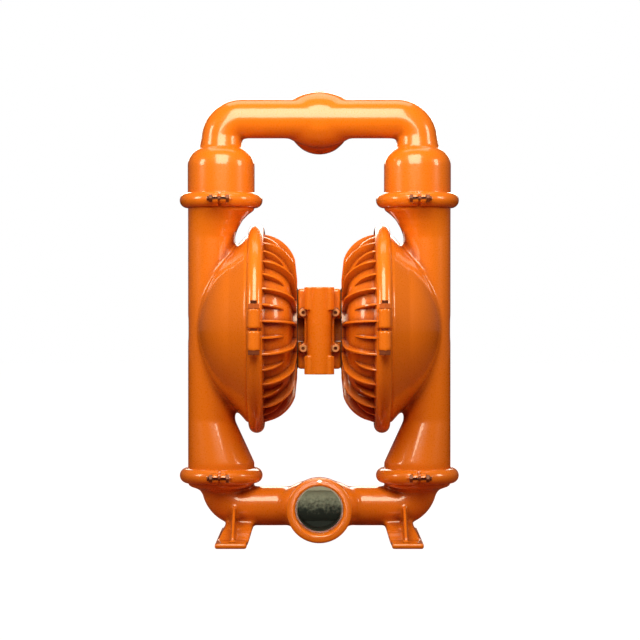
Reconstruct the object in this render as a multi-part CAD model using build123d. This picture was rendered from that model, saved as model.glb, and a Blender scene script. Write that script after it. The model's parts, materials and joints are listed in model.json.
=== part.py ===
from build123d import *
import math
import os

# Air operated double diaphragm pump, millimetres, +Z up, +X across, the inlet port faces -Y.
# The origin lies on the floor at the centre of the four foot bolt holes.

# Where the main axes and joints lie
chamber_split_x = 113.0
tube_offset = 64.5
inlet_z = 63.0
inlet_rise = 55.5
shaft_rise = 265.5
upper_rise = 231.5
discharge_rise = 147.5
tube_x = chamber_split_x + tube_offset
lower_joint_z = inlet_z + inlet_rise
shaft_z = lower_joint_z + shaft_rise
upper_joint_z = shaft_z + upper_rise
discharge_z = upper_joint_z + discharge_rise

# Clearances between pieces
seat_gap = 0.2
running_gap = 0.05
rest_gap = 0.3

# Vertical liquid tube of each liquid chamber
tube_r = 60.0
tube_wall = 8.0
cage_wall = 9.0
waist_reach = 25.0
high_taper_step = 7.0
low_taper_rise = 23.5
low_taper_length = 76.0
high_taper_drop = 17.5
high_taper_bend = 18.0
high_taper_length = 30.5
cage_r = tube_r - cage_wall
waist_r = (tube_r + waist_reach) / 2
high_taper_middle_r = waist_r + high_taper_step
low_taper_start_z = lower_joint_z + low_taper_rise
low_taper_end_z = low_taper_start_z + low_taper_length
high_taper_end_z = upper_joint_z - high_taper_drop
high_taper_middle_z = high_taper_end_z - high_taper_bend
high_taper_start_z = high_taper_middle_z - high_taper_length

# Large and small clamped joints: a lip with a tapered back on each side
rim_r = 170.0
rim_lip_rise = 12.0
rim_width = 17.0
small_lip_rise = 9.0
lip_edge = 5.0
lip_taper_deg = 20.0
rim_lip_r = rim_r + rim_lip_rise
small_lip_r = tube_r + small_lip_rise

# Dome of each liquid chamber, turned about the shaft axis
dome_reach = 44.2
dome_shoulder_step = 32.5
dome_crown_extra = 44.5
dome_wall = 9.0
dome_tube_fillet = 10.0
dome_apex_x = tube_x + dome_reach
dome_shoulder_r = rim_r - dome_shoulder_step
dome_crown_r = dome_shoulder_r + dome_crown_extra

# Clamp bands, half round in section
large_clamp_cover = 7.0
large_clamp_width = 28.0
large_ear_length = 36.0
large_ear_width = 23.0
large_ear_reach = 20.0
large_bolt_r = 6.0
large_bolt_offset = 9.0
large_hex = 19.0
large_head = 7.5
small_clamp_cover = 6.0
small_clamp_width = 27.0
small_ear_length = 12.0
small_ear_width = 18.0
small_ear_reach = 19.0
small_bolt_r = 4.0
small_bolt_offset = 9.0
small_hex = 13.0
small_head = 5.3
clamp_inner_gap = 1.5
clamp_split = 4.0
clamp_crown_share = 0.8
nut_share = 0.47
hex_crown_share = 0.56
bolt_hole_gap = 0.25
large_clamp_r = rim_lip_r + large_clamp_cover
small_clamp_r = small_lip_r + small_clamp_cover

# Diaphragms and their plates
diaphragm_thickness = 5.0
diaphragm_dish = 12.0
bead_step = 6.0
bead_width = 13.0
bead_thickness = 8.0
cavity_step = 1.0
plate_step = 56.0
plate_edge = 4.0
plate_land = 2.0
inner_plate_slope = 37.0
inner_plate_thickness = 10.5
outer_plate_slope = 43.0
outer_plate_thickness = 15.0
shaft_r = 16.0
shaft_end_depth = 9.0
stroke = 30.0
bead_r = rim_r - bead_step
bead_inner_r = bead_r - bead_width
cavity_r = bead_inner_r - cavity_step
plate_r = bead_inner_r - plate_step
inner_plate_hub_r = plate_r - inner_plate_slope
outer_plate_hub_r = plate_r - outer_plate_slope

# Air chambers: ribbed bowls. The bowl runs from its rim over a flank and a corner to the hub
air_inner_face_x = 39.8
air_hub_r = 76.0
air_hub_thickness = 10.2
air_hub_hole_step = 5.0
air_bowl_step = 15.0
air_bowl_edge = 4.0
air_flank_rise = 28.0
air_flank_share = 0.8
air_corner_rise = 12.0
air_corner_share = 0.45
air_hub_rise = 6.5
air_shell_wall = 7.5
air_hub_hole_r = shaft_r + air_hub_hole_step
air_bowl_r = rim_r - air_bowl_step
air_flank_x = air_inner_face_x + air_flank_rise
air_flank_r = air_hub_r + air_flank_share * (air_bowl_r - air_hub_r)
air_corner_x = air_inner_face_x + air_corner_rise
air_corner_r = air_hub_r + air_corner_share * (air_bowl_r - air_hub_r)
air_hub_x = air_inner_face_x + air_hub_rise

# Radial ribs on the bowls, every second one short
rib_count = 36
rib_thickness = 5.2
rib_sink = 4.0
rib_crest_rise = 25.2
rib_crest_share = 0.975
rib_corner_rise = 5.2
rib_corner_share = 0.61
rib_foot_step = 14.0
short_rib_rise = 21.0
short_rib_share = 0.66
rib_crest_x = air_inner_face_x + rib_crest_rise
rib_crest_r = air_hub_r + rib_crest_share * (air_bowl_r - air_hub_r)
rib_corner_x = air_inner_face_x + rib_corner_rise
rib_corner_r = air_hub_r + rib_corner_share * (air_bowl_r - air_hub_r)
rib_foot_r = air_hub_r + rib_foot_step
short_rib_x = air_inner_face_x + short_rib_rise
short_rib_r = air_hub_r + short_rib_share * (air_bowl_r - air_hub_r)

# Centre block between the air chambers
gasket_thickness = 1.0
block_half_height = 72.0
block_half_depth = 50.0
block_chamfer = 6.0
bushing_wall = 10.0
bushing_length = 20.0
seal_length = 4.8
block_bore_step = 2.5
chamber_bolt_y = 32.0
chamber_bolt_z = 48.0
chamber_bolt_r = 5.0
chamber_bolt_depth = 18.0
chamber_hex = 17.0
chamber_head = 6.4
air_inlet_r = 13.1
air_inlet_depth = 20.0
air_exhaust_r = 16.4
air_exhaust_depth = 22.0
air_port_offset = 35.0
air_port_wall = 7.0
air_port_reach = 12.0
pocket_height = 44.0
pocket_depth = 10.0
bushing_r = shaft_r + bushing_wall
block_bore_r = shaft_r + block_bore_step
block_half_x = air_inner_face_x - gasket_thickness

# Air valve bolted to the front of the block
valve_drop = 3.0
valve_half_height = 77.5
spool_bore_r = 13.0
valve_barrel_wall = 9.0
valve_barrel_room = 4.0
valve_head_step = 4.5
valve_head_reach = 17.0
valve_top_head = 41.0
valve_bottom_head = 33.0
valve_head_chamfer = 6.0
valve_lug_r = 8.3
valve_flange_half_height = 42.0
valve_flange_thickness = 12.0
valve_lug_height = 19.0
valve_screw_step = 2.2
valve_screw_z = 31.7
valve_screw_r = 4.0
valve_screw_depth = 16.0
valve_screw_head_r = 6.8
valve_screw_head = 8.0
valve_screw_socket = 6.0
socket_share = 0.6
spool_waist_step = 4.5
spool_land = 14.0
spool_land_count = 4
spool_travel = 16.0
air_passage_share = 0.75
valve_cap_step = 5.0
valve_cap_thickness = 8.0
valve_cap_recess = 1.0
snap_ring_thickness = 1.6
snap_ring_width = 4.0
snap_ring_bite = 1.5
snap_ring_gap_deg = 25.0
cap_ring_r = 1.2
valve_z = shaft_z - valve_drop
valve_barrel_r = spool_bore_r + valve_barrel_wall
valve_axis_offset = valve_barrel_r + valve_barrel_room
valve_head_half_width = valve_barrel_r + valve_head_step
valve_head_depth = valve_axis_offset + valve_head_reach
valve_screw_x = valve_head_half_width + valve_screw_step
valve_flange_half_width = valve_screw_x + valve_lug_r
valve_cap_r = spool_bore_r + valve_cap_step
spool_waist_r = spool_bore_r - spool_waist_step

# Liquid manifolds
pipe_r = 35.5
pipe_wall = 8.0
elbow_inner_r = 1.5
elbow_tail = 2.0
bell_step = 0.5
neck_step = 3.0
neck_drop = 52.0
neck_collar = 13.0
neck_tail = 2.0
shoulder_height = 31.0
shoulder_share = 0.62
shoulder_wall = 8.0
inlet_neck_rise = 25.0
inlet_shoulder_rise = 16.0
bell_corner = 4.0
seat_throat_step = 4.0
port_reach = 100.0
port_collar = 30.0
port_thread_r = 43.0
port_thread_depth = 40.0
port_wall = 15.0
port_body_step = 7.0
port_bore_step = 4.5
port_chamfer = 1.8
port_edge = 2.5
port_back = 6.0
swelling_half_length = 72.4
swelling_end_r = 20.0
swelling_step = 15.5
pipe_bore_r = pipe_r - pipe_wall
elbow_r = pipe_r + elbow_inner_r
bell_r = tube_r + bell_step
neck_r = pipe_r + neck_step
neck_z = discharge_z - neck_drop
bell_top_z = neck_z - shoulder_height
inlet_neck_z = inlet_z + inlet_neck_rise
inlet_shoulder_z = inlet_neck_z + inlet_shoulder_rise
port_r = port_thread_r + port_wall
port_body_r = port_thread_r + port_body_step
swelling_r = pipe_r + swelling_step
port_bore_r = port_thread_r - port_bore_step

# Feet cast under the inlet elbows
foot_hole_inset = 25.0
foot_hole_y = 128.5
foot_hole_r = 7.0
foot_centre_shift = 2.5
foot_half_width = 28.0
foot_half_length = 145.0
foot_thickness = 9.5
foot_corner_r = 8.0
leg_top_z = 30.0
leg_top_shift = 12.5
leg_top_half_width = 25.0
leg_half_length = 105.0
gusset_shift = 0.5
gusset_thickness = 6.0
gusset_edge = 8.0
gusset_rise = 15.0
gusset_foot_inset = 15.5
foot_hole_x = tube_x - foot_hole_inset
foot_centre_x = foot_hole_x + foot_centre_shift
leg_top_x = foot_hole_x - leg_top_shift
gusset_x = foot_hole_x + gusset_shift
gusset_top_z = inlet_z + gusset_rise
gusset_foot_y = foot_hole_y - gusset_foot_inset

# Valve seats and balls
ball_room = 12.0
ball_lift = 20.0
seat_land = 4.0
seat_depth = 12.0
seat_bore_step = 9.0
seat_raised_step = 7.0
seat_raised = 6.0
seat_contact_step = 7.0
seat_contact_top_step = 2.0
seat_ring_r = 2.4
stop_width = 10.0
stop_height = 9.0
ball_r = cage_r - ball_room
seat_r = cage_r + seat_land
seat_bore_r = ball_r - seat_bore_step
seat_raised_r = ball_r + seat_raised_step
seat_contact_r = ball_r - seat_contact_step
seat_contact_top_r = ball_r - seat_contact_top_step
seat_throat_r = seat_bore_r + seat_throat_step

# Places worked out from the sizes above
lip_slope = math.tan(math.radians(lip_taper_deg))
block_front_y = -block_half_depth
valve_back_y = block_front_y - gasket_thickness
valve_axis_y = valve_back_y - valve_axis_offset
valve_cap_seat_z = valve_z + valve_half_height - valve_cap_thickness - snap_ring_thickness - valve_cap_recess
spool_length = 2 * (valve_cap_seat_z - valve_z) - spool_travel - 2 * rest_gap
ball_height = math.sqrt(ball_r ** 2 - seat_contact_r ** 2)
seat_slope = seat_contact_r / ball_height
seat_contact_z = seat_raised - (seat_contact_top_r - seat_contact_r) * seat_slope
ball_rest_z = seat_contact_z + ball_height + rest_gap * ball_r / ball_height
diaphragm_x = chamber_split_x + diaphragm_dish
plate_inner_x = diaphragm_x - diaphragm_thickness / 2
plate_outer_x = diaphragm_x + diaphragm_thickness / 2
shaft_half_length = plate_outer_x + shaft_end_depth
shaft_axis = Axis((0, 0, shaft_z), (1, 0, 0))
on_floor = (Align.CENTER, Align.CENTER, Align.MIN)
sides = {"right": 1, "left": -1}

def closed_face(points, plane=Plane.XZ):
    """A flat face inside straight lines through the points."""
    return plane * make_face(Polyline(*points, close=True))


def turned(points, x=0.0, z=0.0):
    """A body turned about a vertical axis from (radius, height) points."""
    return Pos(x, 0, z) * revolve(closed_face(points), Axis.Z)


def turned_about_shaft(edges):
    """A body turned about the shaft axis from edges drawn as (x, radius)."""
    return revolve(Pos(0, 0, shaft_z) * (Plane.XZ * make_face(edges)), shaft_axis)


def along_y(radius, start, end, x=0.0, z=0.0):
    """A round bar along Y from start to end."""
    bar = Cylinder(radius, abs(end - start))
    return Pos(x, (start + end) / 2, z) * Rot(90, 0, 0) * bar


def along_x(radius, start, end, y=0.0, z=0.0):
    """A round bar along X from start to end."""
    bar = Cylinder(radius, abs(end - start))
    return Pos((start + end) / 2, y, z) * Rot(0, 90, 0) * bar


def mirrored(body):
    """The same body on the other side of the centre plane."""
    return mirror(body, about=Plane.YZ)


def hex_prism(across_flats, height):
    """A hexagonal head or nut standing on the ground plane."""
    outline = RegularPolygon(across_flats / math.sqrt(3), 6)
    prism = extrude(outline, height)
    crown = Cylinder(across_flats * hex_crown_share, height, align=on_floor)
    return prism & crown


# Clamped joints
def lip_points(bore, radius, edge_r):
    """Half of a clamped lip as (radius, height) points, with its joint face at height zero."""
    back = lip_edge + (edge_r - radius) * lip_slope
    return [(bore, 0), (edge_r, 0), (edge_r, lip_edge), (radius, back), (bore, back)]


def clamp_groove(radius, edge_r):
    """The room that a pair of lips takes inside a clamp, about a vertical axis at height zero."""
    edge = edge_r + seat_gap
    side = lip_edge + seat_gap
    back = side + (edge - radius) * lip_slope
    return turned([(0, -back), (radius, -back), (edge, -side), (edge, side), (radius, back), (0, back)])


def clamp_half(radius, edge_r, crown_r, width, ear, bolt):
    """One half of a clamp band round a vertical axis, on the +X side, with an ear at each end."""
    ear_length, ear_width, ear_reach = ear
    bolt_r, bolt_offset = bolt
    inner_r = radius + clamp_inner_gap
    half = width / 2
    shoulder_r = crown_r - half * clamp_crown_share
    section = make_face([
        ThreePointArc((shoulder_r, -half), (crown_r, 0), (shoulder_r, half)),
        Polyline((shoulder_r, half), (inner_r, half), (inner_r, -half), (shoulder_r, -half)),
    ])
    band = revolve(Plane.XZ * section, Axis.Z)
    bolt_y = crown_r + bolt_offset
    body = band
    holes = []
    for y_sign in (1, -1):
        block_depth = bolt_y - inner_r
        block = Pos(ear_length / 2, y_sign * (inner_r + block_depth / 2), 0) * Box(
            ear_length, block_depth, ear_width
        )
        tip_r = min(ear_width / 2, crown_r + ear_reach - bolt_y)
        tip = along_x(tip_r, 0, ear_length, y_sign * bolt_y, 0)
        hole = along_x(bolt_r + bolt_hole_gap, -1, ear_length + 1, y_sign * bolt_y, 0)
        body = body + block + tip
        holes.append(hole)
    keep = Pos(crown_r, 0, 0) * Box(2 * crown_r - clamp_split, 4 * crown_r, 4 * crown_r)
    body = (body & keep) - clamp_groove(radius, edge_r)
    body = body - Cylinder(inner_r, width * 2)
    for hole in holes:
        body = body - hole
    return body


def clamp_bolts(crown_r, ear_length, bolt_r, bolt_offset, hex_size, head):
    """Both bolts and both nuts of one clamp, lying along X at the two ends of its split."""
    grip = ear_length
    nut_height = hex_size * nut_share
    bolts, nuts = [], []
    for y_sign in (1, -1):
        y = y_sign * (crown_r + bolt_offset)
        tail = grip + nut_height + bolt_r
        shank = along_x(bolt_r, -grip, tail, y, 0)
        head_body = Pos(-grip - head, y, 0) * Rot(0, 90, 0) * hex_prism(hex_size, head)
        bolts.append(shank + head_body)
        nut = Pos(grip, y, 0) * Rot(0, 90, 0) * hex_prism(hex_size, nut_height)
        nuts.append(nut - along_x(bolt_r + running_gap, -tail, 2 * tail, y, 0))
    return bolts, nuts


small_ear = (small_ear_length, small_ear_width, small_ear_reach)
small_bolt = (small_bolt_r, small_bolt_offset)
large_ear = (large_ear_length, large_ear_width, large_ear_reach)
large_bolt = (large_bolt_r, large_bolt_offset)


# Liquid chambers
def waist_centre(radius):
    """The tube keeps its outer side straight while its radius shrinks."""
    return tube_x + tube_r - radius


def tube_body(wall):
    """The vertical liquid tube of the right chamber, less a wall thickness all round."""
    straight_low = Pos(tube_x, 0, lower_joint_z) * Cylinder(
        tube_r - wall, low_taper_start_z - lower_joint_z, align=on_floor
    )
    straight_high = Pos(tube_x, 0, high_taper_end_z) * Cylinder(
        tube_r - wall, upper_joint_z - high_taper_end_z, align=on_floor
    )
    waist = Pos(waist_centre(waist_r), 0, low_taper_end_z) * Cylinder(
        waist_r - wall, high_taper_start_z - low_taper_end_z, align=on_floor
    )

    def ring(radius, z):
        return Pos(waist_centre(radius), 0, z) * Circle(radius - wall)

    low_taper = loft([ring(tube_r, low_taper_start_z), ring(waist_r, low_taper_end_z)])
    high_taper = loft([
        ring(waist_r, high_taper_start_z),
        ring(high_taper_middle_r, high_taper_middle_z),
        ring(tube_r, high_taper_end_z),
    ])
    return straight_low + low_taper + waist + high_taper + straight_high


def dome_body(wall, rim):
    """The dome of the right liquid chamber, less a wall, from the joint face outwards."""
    crown = dome_crown_r - wall
    apex = dome_apex_x - wall
    centre = apex - crown
    shoulder_r = dome_shoulder_r - wall * dome_shoulder_r / dome_crown_r
    shoulder_x = centre + math.sqrt(crown ** 2 - shoulder_r ** 2)
    middle_r = shoulder_r / 2
    middle_x = centre + math.sqrt(crown ** 2 - middle_r ** 2)
    edges = [
        Line((chamber_split_x, 0), (chamber_split_x, rim)),
        Line((chamber_split_x, rim), (chamber_split_x + rim_width, rim)),
        Line((chamber_split_x + rim_width, rim), (shoulder_x, shoulder_r)),
        ThreePointArc((shoulder_x, shoulder_r), (middle_x, middle_r), (apex, 0)),
        Line((apex, 0), (chamber_split_x, 0)),
    ]
    return turned_about_shaft(edges)


def blended(body):
    """The tube and dome with a cast fillet along the seam between them."""
    seam = []
    for edge in body.edges().filter_by(GeomType.BSPLINE):
        box = edge.bounding_box()
        beside_dome = box.min.Z > low_taper_end_z and box.max.Z < high_taper_start_z
        if beside_dome and box.max.X < dome_apex_x:
            seam.append(edge)
    return fillet(seam, dome_tube_fillet)


def rim_lip(direction):
    """The large clamped lip about the shaft, reaching from the joint face in the given direction."""
    points = lip_points(bead_inner_r, rim_r, rim_lip_r)
    edges = Polyline(*[(chamber_split_x + direction * z, r) for r, z in points], close=True)
    return turned_about_shaft(edges)


def small_lip(joint_z, direction, bore):
    """A small clamped lip about the right tube axis."""
    points = [(r, direction * z) for r, z in lip_points(bore, tube_r, small_lip_r)]
    return turned(points, tube_x, joint_z)


def seat_pocket(joint_z):
    """The counterbore that holds a valve seat below a joint face, about the right tube axis."""
    depth = seat_depth
    return Pos(tube_x, 0, joint_z - depth) * Cylinder(seat_r + seat_gap, depth, align=on_floor)


def bead_recess():
    """The room for the clamped bead of a diaphragm, on both sides of the joint face."""
    reach = bead_thickness / 2 + running_gap
    return along_x(bead_r + seat_gap, chamber_split_x - reach, chamber_split_x + reach, 0, shaft_z)


def ball_stop(joint_z):
    """A bar cast across the passage just above the lifted ball."""
    z = joint_z + ball_rest_z + ball_lift + ball_r + rest_gap
    return Pos(tube_x, 0, z + stop_height / 2) * Box(stop_width, 2 * tube_r, stop_height)


def liquid_chamber():
    """The right liquid chamber: tube, dome, clamped lips and ball stop as one casting."""
    outside = blended(tube_body(0) + dome_body(0, rim_r))
    outside = outside + rim_lip(1)
    outside = outside + small_lip(lower_joint_z, 1, cage_r) + small_lip(upper_joint_z, -1, cage_r)
    cavity = dome_body(dome_wall, cavity_r) + tube_body(tube_wall)
    cage = Pos(tube_x, 0, lower_joint_z) * Cylinder(
        cage_r, low_taper_start_z - lower_joint_z, align=on_floor
    )
    stop = ball_stop(lower_joint_z) & tube_body(tube_wall / 2)
    body = outside - cavity - cage - seat_pocket(upper_joint_z) - bead_recess()
    return body + stop


# Air chambers
def air_shell():
    """The bowl of the right air chamber with its hub, turned about the shaft axis."""
    rim_end_x = chamber_split_x - rim_width
    hub_back_x = air_inner_face_x + air_hub_thickness
    bowl_edge = (rim_end_x - air_bowl_edge, air_bowl_r)
    flank = (air_flank_x, air_flank_r)
    corner = (air_corner_x, air_corner_r)
    lean = math.atan2(air_corner_r - air_hub_r, air_corner_x - air_hub_x)
    across = math.atan2(air_bowl_r - air_corner_r, bowl_edge[0] - air_corner_x)
    inner_corner = (
        air_corner_x + air_shell_wall * math.sin(lean), air_corner_r - air_shell_wall * math.cos(lean)
    )
    inner_flank = (
        air_flank_x + air_shell_wall * math.sin(across), air_flank_r - air_shell_wall * math.cos(across)
    )
    edges = [
        Polyline((chamber_split_x, rim_r), (rim_end_x, rim_r), bowl_edge),
        ThreePointArc(bowl_edge, flank, corner),
        Polyline(
            corner, (air_hub_x, air_hub_r), (air_inner_face_x, air_hub_r),
            (air_inner_face_x, air_hub_hole_r), (hub_back_x, air_hub_hole_r),
            (hub_back_x, air_hub_r - air_shell_wall), inner_corner,
        ),
        ThreePointArc(inner_corner, inner_flank, (rim_end_x, cavity_r)),
        Polyline((rim_end_x, cavity_r), (chamber_split_x, cavity_r), (chamber_split_x, rim_r)),
    ]
    return turned_about_shaft(edges)


def rib(reach_to_hub):
    """One radial rib on the back of the right air chamber, standing up from the shaft axis."""
    rim_end_x = chamber_split_x - rim_width
    start = (rim_end_x, rim_r)
    sink = rib_sink
    root = [
        (air_flank_x + sink, air_flank_r - sink / 2),
        (rim_end_x, air_bowl_r - sink),
        start,
    ]
    if reach_to_hub:
        corner = (rib_corner_x, rib_corner_r)
        edges = [
            ThreePointArc(start, (rib_crest_x, rib_crest_r), corner),
            Polyline(
                corner, (air_inner_face_x, rib_foot_r), (air_inner_face_x, air_hub_r - sink),
                (air_hub_x + sink, air_hub_r - sink), (air_corner_x + sink, air_corner_r - sink / 2), *root,
            ),
        ]
    else:
        end = (short_rib_x, short_rib_r)
        crest = ((start[0] + end[0]) / 2, air_flank_r + short_rib_share * (rim_r - air_flank_r))
        edges = [ThreePointArc(start, crest, end), Polyline(end, *root)]
    plate = extrude(Plane.XZ * make_face(edges), rib_thickness / 2, both=True)
    return Pos(0, 0, shaft_z) * plate


def chamber_bolt_places():
    """The (y, z) places of the bolts that hold an air chamber to the block."""
    return [(y * chamber_bolt_y, shaft_z + z * chamber_bolt_z) for y in (1, -1) for z in (1, -1)]


def air_chamber():
    """The right air chamber with its ring of long and short ribs."""
    body = air_shell() + rim_lip(-1)
    step = 360.0 / rib_count
    long_rib = rib(True)
    short_rib = rib(False)
    ribs = []
    for index in range(rib_count):
        blank = long_rib if index % 2 == 0 else short_rib
        ribs.append(blank.rotate(shaft_axis, (index + 0.5) * step))
    body = body + ribs - bead_recess()
    for y, z in chamber_bolt_places():
        body = body - along_x(chamber_bolt_r + bolt_hole_gap, 0, chamber_split_x, y, z)
    return body


# Manifolds
def pipe_path(axis_z, towards):
    """The centre line of a manifold pipe, ending past the elbows, up (1) or down (-1)."""
    tail = elbow_r + elbow_tail
    if towards < 0:
        tail = max(tail, axis_z - neck_z)
    end_z = axis_z + towards * tail
    return FilletPolyline(
        (-tube_x, 0, end_z), (-tube_x, 0, axis_z), (tube_x, 0, axis_z), (tube_x, 0, end_z),
        radius=elbow_r,
    )


def pipe(axis_z, towards, radius):
    """A round bar along a manifold's centre line."""
    path = pipe_path(axis_z, towards)
    return sweep(Plane(origin=path @ 0, z_dir=path % 0) * Circle(radius), path=path)


def port_outside(z, direction):
    """The round port boss of a manifold, reaching from the pipe along Y."""
    tip = direction * port_reach
    collar_y = tip - direction * port_collar
    neck_y = collar_y - direction * (port_r - port_body_r)
    back = -direction * port_back
    inset = port_back * (1 - math.sqrt(0.5))
    outline = make_face([
        Polyline((0, tip), (0, back), (port_body_r - port_back, back)),
        ThreePointArc(
            (port_body_r - port_back, back), (port_body_r - inset, back + direction * inset), (port_body_r, 0)
        ),
        Polyline(
            (port_body_r, 0), (port_body_r, neck_y), (port_r - port_edge, collar_y),
            (port_r, collar_y + direction * port_edge), (port_r, tip - direction * port_edge),
            (port_r - port_edge, tip), (0, tip),
        ),
    ])
    return Pos(0, 0, z) * revolve(outline, Axis.Y)


def port_swelling(z, direction):
    """The lens shaped swelling of a manifold pipe where its port boss grows out of it."""
    outline = make_face([
        ThreePointArc(
            (-swelling_half_length, swelling_end_r), (0, swelling_r), (swelling_half_length, swelling_end_r)
        ),
        Polyline(
            (swelling_half_length, swelling_end_r), (swelling_half_length, 0),
            (-swelling_half_length, 0), (-swelling_half_length, swelling_end_r),
        ),
    ])
    return Pos(0, direction * swelling_step, z) * revolve(outline, Axis.X)


def port_hollow(z, direction):
    """The threaded mouth and the bore behind it."""
    tip = direction * port_reach
    thread_end = tip - direction * port_thread_depth
    mouth_r = port_thread_r + port_chamfer
    points = [
        (0, 0), (port_bore_r, 0), (port_bore_r, thread_end), (port_thread_r, thread_end),
        (port_thread_r, tip - direction * port_chamfer), (mouth_r, tip), (0, tip),
    ]
    outline = make_face(Polyline(*points, close=True))
    return Pos(0, 0, z) * revolve(outline, Axis.Y)


def bell(points, x):
    """A turned bell end about one tube axis."""
    return turned(points, x)


def foot(x_sign):
    """One cast foot: plate, flared hollow leg and two gussets, under an inlet elbow."""
    plate = Pos(foot_centre_x, 0, 0) * extrude(
        RectangleRounded(2 * foot_half_width, 2 * foot_half_length, foot_corner_r), foot_thickness
    )
    bottom = Pos(foot_centre_x, 0, 0) * Rectangle(2 * foot_half_width, 2 * leg_half_length)
    top = Pos(leg_top_x, 0, leg_top_z + pipe_r) * Rectangle(2 * leg_top_half_width, pipe_r)
    leg = loft([bottom, top])
    gusset = Pos(gusset_x, 0, 0) * extrude(
        Plane.YZ * make_face(Polyline(
            (-gusset_foot_y, foot_thickness), (-gusset_foot_y, foot_thickness + gusset_edge),
            (-pipe_r / 2, gusset_top_z), (pipe_r / 2, gusset_top_z),
            (gusset_foot_y, foot_thickness + gusset_edge), (gusset_foot_y, foot_thickness),
            close=True,
        )),
        gusset_thickness / 2, both=True,
    )
    body = plate + leg + gusset
    for y in (foot_hole_y, -foot_hole_y):
        body = body - Pos(foot_hole_x, y, 0) * Cylinder(foot_hole_r, 8 * foot_thickness)
    return body if x_sign > 0 else mirrored(body)


def inlet_manifold():
    """The lower manifold: pipe, elbows, bell ends, front port and feet as one casting."""
    joint = lower_joint_z
    outer = [
        (0, joint), (tube_r, joint), (tube_r, inlet_shoulder_z),
        (tube_r - bell_corner, inlet_shoulder_z - bell_corner),
        (pipe_r + bell_corner, inlet_neck_z + bell_corner), (pipe_r, inlet_neck_z),
        (0, inlet_neck_z),
    ]
    floor_z = joint - seat_depth
    inner = [
        (0, inlet_neck_z), (pipe_bore_r, inlet_neck_z), (seat_throat_r, floor_z - bell_corner),
        (seat_throat_r, floor_z), (0, floor_z),
    ]
    body = pipe(inlet_z, 1, pipe_r) + port_outside(inlet_z, -1) + port_swelling(inlet_z, -1)
    for x_sign in (1, -1):
        body = body + bell(outer, x_sign * tube_x)
        lip = small_lip(joint, -1, seat_r + seat_gap)
        body = body + (lip if x_sign > 0 else mirrored(lip)) + foot(x_sign)
    body = body - pipe(inlet_z, 1, pipe_bore_r) - port_hollow(inlet_z, -1)
    for x_sign in (1, -1):
        pocket = seat_pocket(joint)
        body = body - bell(inner, x_sign * tube_x) - (pocket if x_sign > 0 else mirrored(pocket))
    return body


def discharge_manifold():
    """The upper manifold: ball bells, elbows, pipe and rear port as one casting."""
    joint = upper_joint_z
    round_r = bell_r - neck_r
    outer = make_face([
        Polyline((0, joint), (bell_r, joint), (bell_r, bell_top_z)),
        ThreePointArc(
            (bell_r, bell_top_z),
            (neck_r + round_r * math.cos(math.radians(45)), bell_top_z + shoulder_height * shoulder_share),
            (neck_r, neck_z),
        ),
        Polyline(
            (neck_r, neck_z), (neck_r, neck_z + neck_collar), (0, neck_z + neck_collar), (0, joint)
        ),
    ])
    inner = [
        (0, joint), (cage_r, joint), (cage_r, bell_top_z - neck_tail),
        (pipe_r, neck_z - shoulder_wall), (pipe_bore_r, neck_z + neck_tail), (0, neck_z + neck_tail),
    ]
    body = pipe(discharge_z, -1, pipe_r) + port_outside(discharge_z, 1) + port_swelling(discharge_z, 1)
    for x_sign in (1, -1):
        body = body + Pos(x_sign * tube_x, 0, 0) * revolve(Plane.XZ * outer, Axis.Z)
        lip = small_lip(joint, 1, cage_r)
        body = body + (lip if x_sign > 0 else mirrored(lip))
    body = body - pipe(discharge_z, -1, pipe_bore_r) - port_hollow(discharge_z, 1)
    for x_sign in (1, -1):
        body = body - bell(inner, x_sign * tube_x)
        reach = Pos(tube_x, 0, joint) * Cylinder(neck_r + shoulder_wall / 2, neck_z - joint, align=on_floor)
        stop = ball_stop(joint) & reach
        body = body + (stop if x_sign > 0 else mirrored(stop))
    return body


# Valve seats and balls
def valve_seat():
    """A seat ring about a vertical axis with its joint face at height zero."""
    groove_r = seat_r - 2 * (seat_ring_r + running_gap) - seat_gap
    groove_z = -2 * (seat_ring_r + running_gap)
    chamfer_z = seat_contact_z - (seat_contact_r - seat_bore_r) * seat_slope
    return turned([
        (seat_bore_r, -seat_depth), (seat_r, -seat_depth), (seat_r, groove_z), (groove_r, groove_z),
        (groove_r, 0), (seat_raised_r, 0), (seat_raised_r, seat_raised),
        (seat_contact_top_r, seat_raised), (seat_bore_r, chamfer_z),
    ])


def seat_ring():
    """The sealing ring in the outer corner of a seat."""
    middle_r = seat_r + seat_gap - seat_ring_r - running_gap
    return Pos(0, 0, -seat_ring_r - running_gap) * Torus(middle_r, seat_ring_r)


# Diaphragms, their plates and the shaft
def diaphragm():
    """The right diaphragm: a clamped bead, a sloping web and a flat middle."""
    half = diaphragm_thickness / 2
    bead = bead_thickness / 2
    split = chamber_split_x
    edge_r = plate_r + plate_land
    points = [
        (diaphragm_x - half, shaft_r + seat_gap), (diaphragm_x - half, edge_r),
        (split - half, bead_inner_r), (split - bead, bead_inner_r), (split - bead, bead_r),
        (split + bead, bead_r), (split + bead, bead_inner_r), (split + half, bead_inner_r),
        (diaphragm_x + half, edge_r), (diaphragm_x + half, shaft_r + seat_gap),
    ]
    return turned_about_shaft(Polyline(*points, close=True))


def inner_plate():
    """The plate on the air side of the right diaphragm."""
    x = plate_inner_x
    points = [
        (x, shaft_r + running_gap), (x, plate_r), (x - plate_edge, plate_r),
        (x - inner_plate_thickness, inner_plate_hub_r), (x - inner_plate_thickness, shaft_r + running_gap),
    ]
    return turned_about_shaft(Polyline(*points, close=True))


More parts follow.
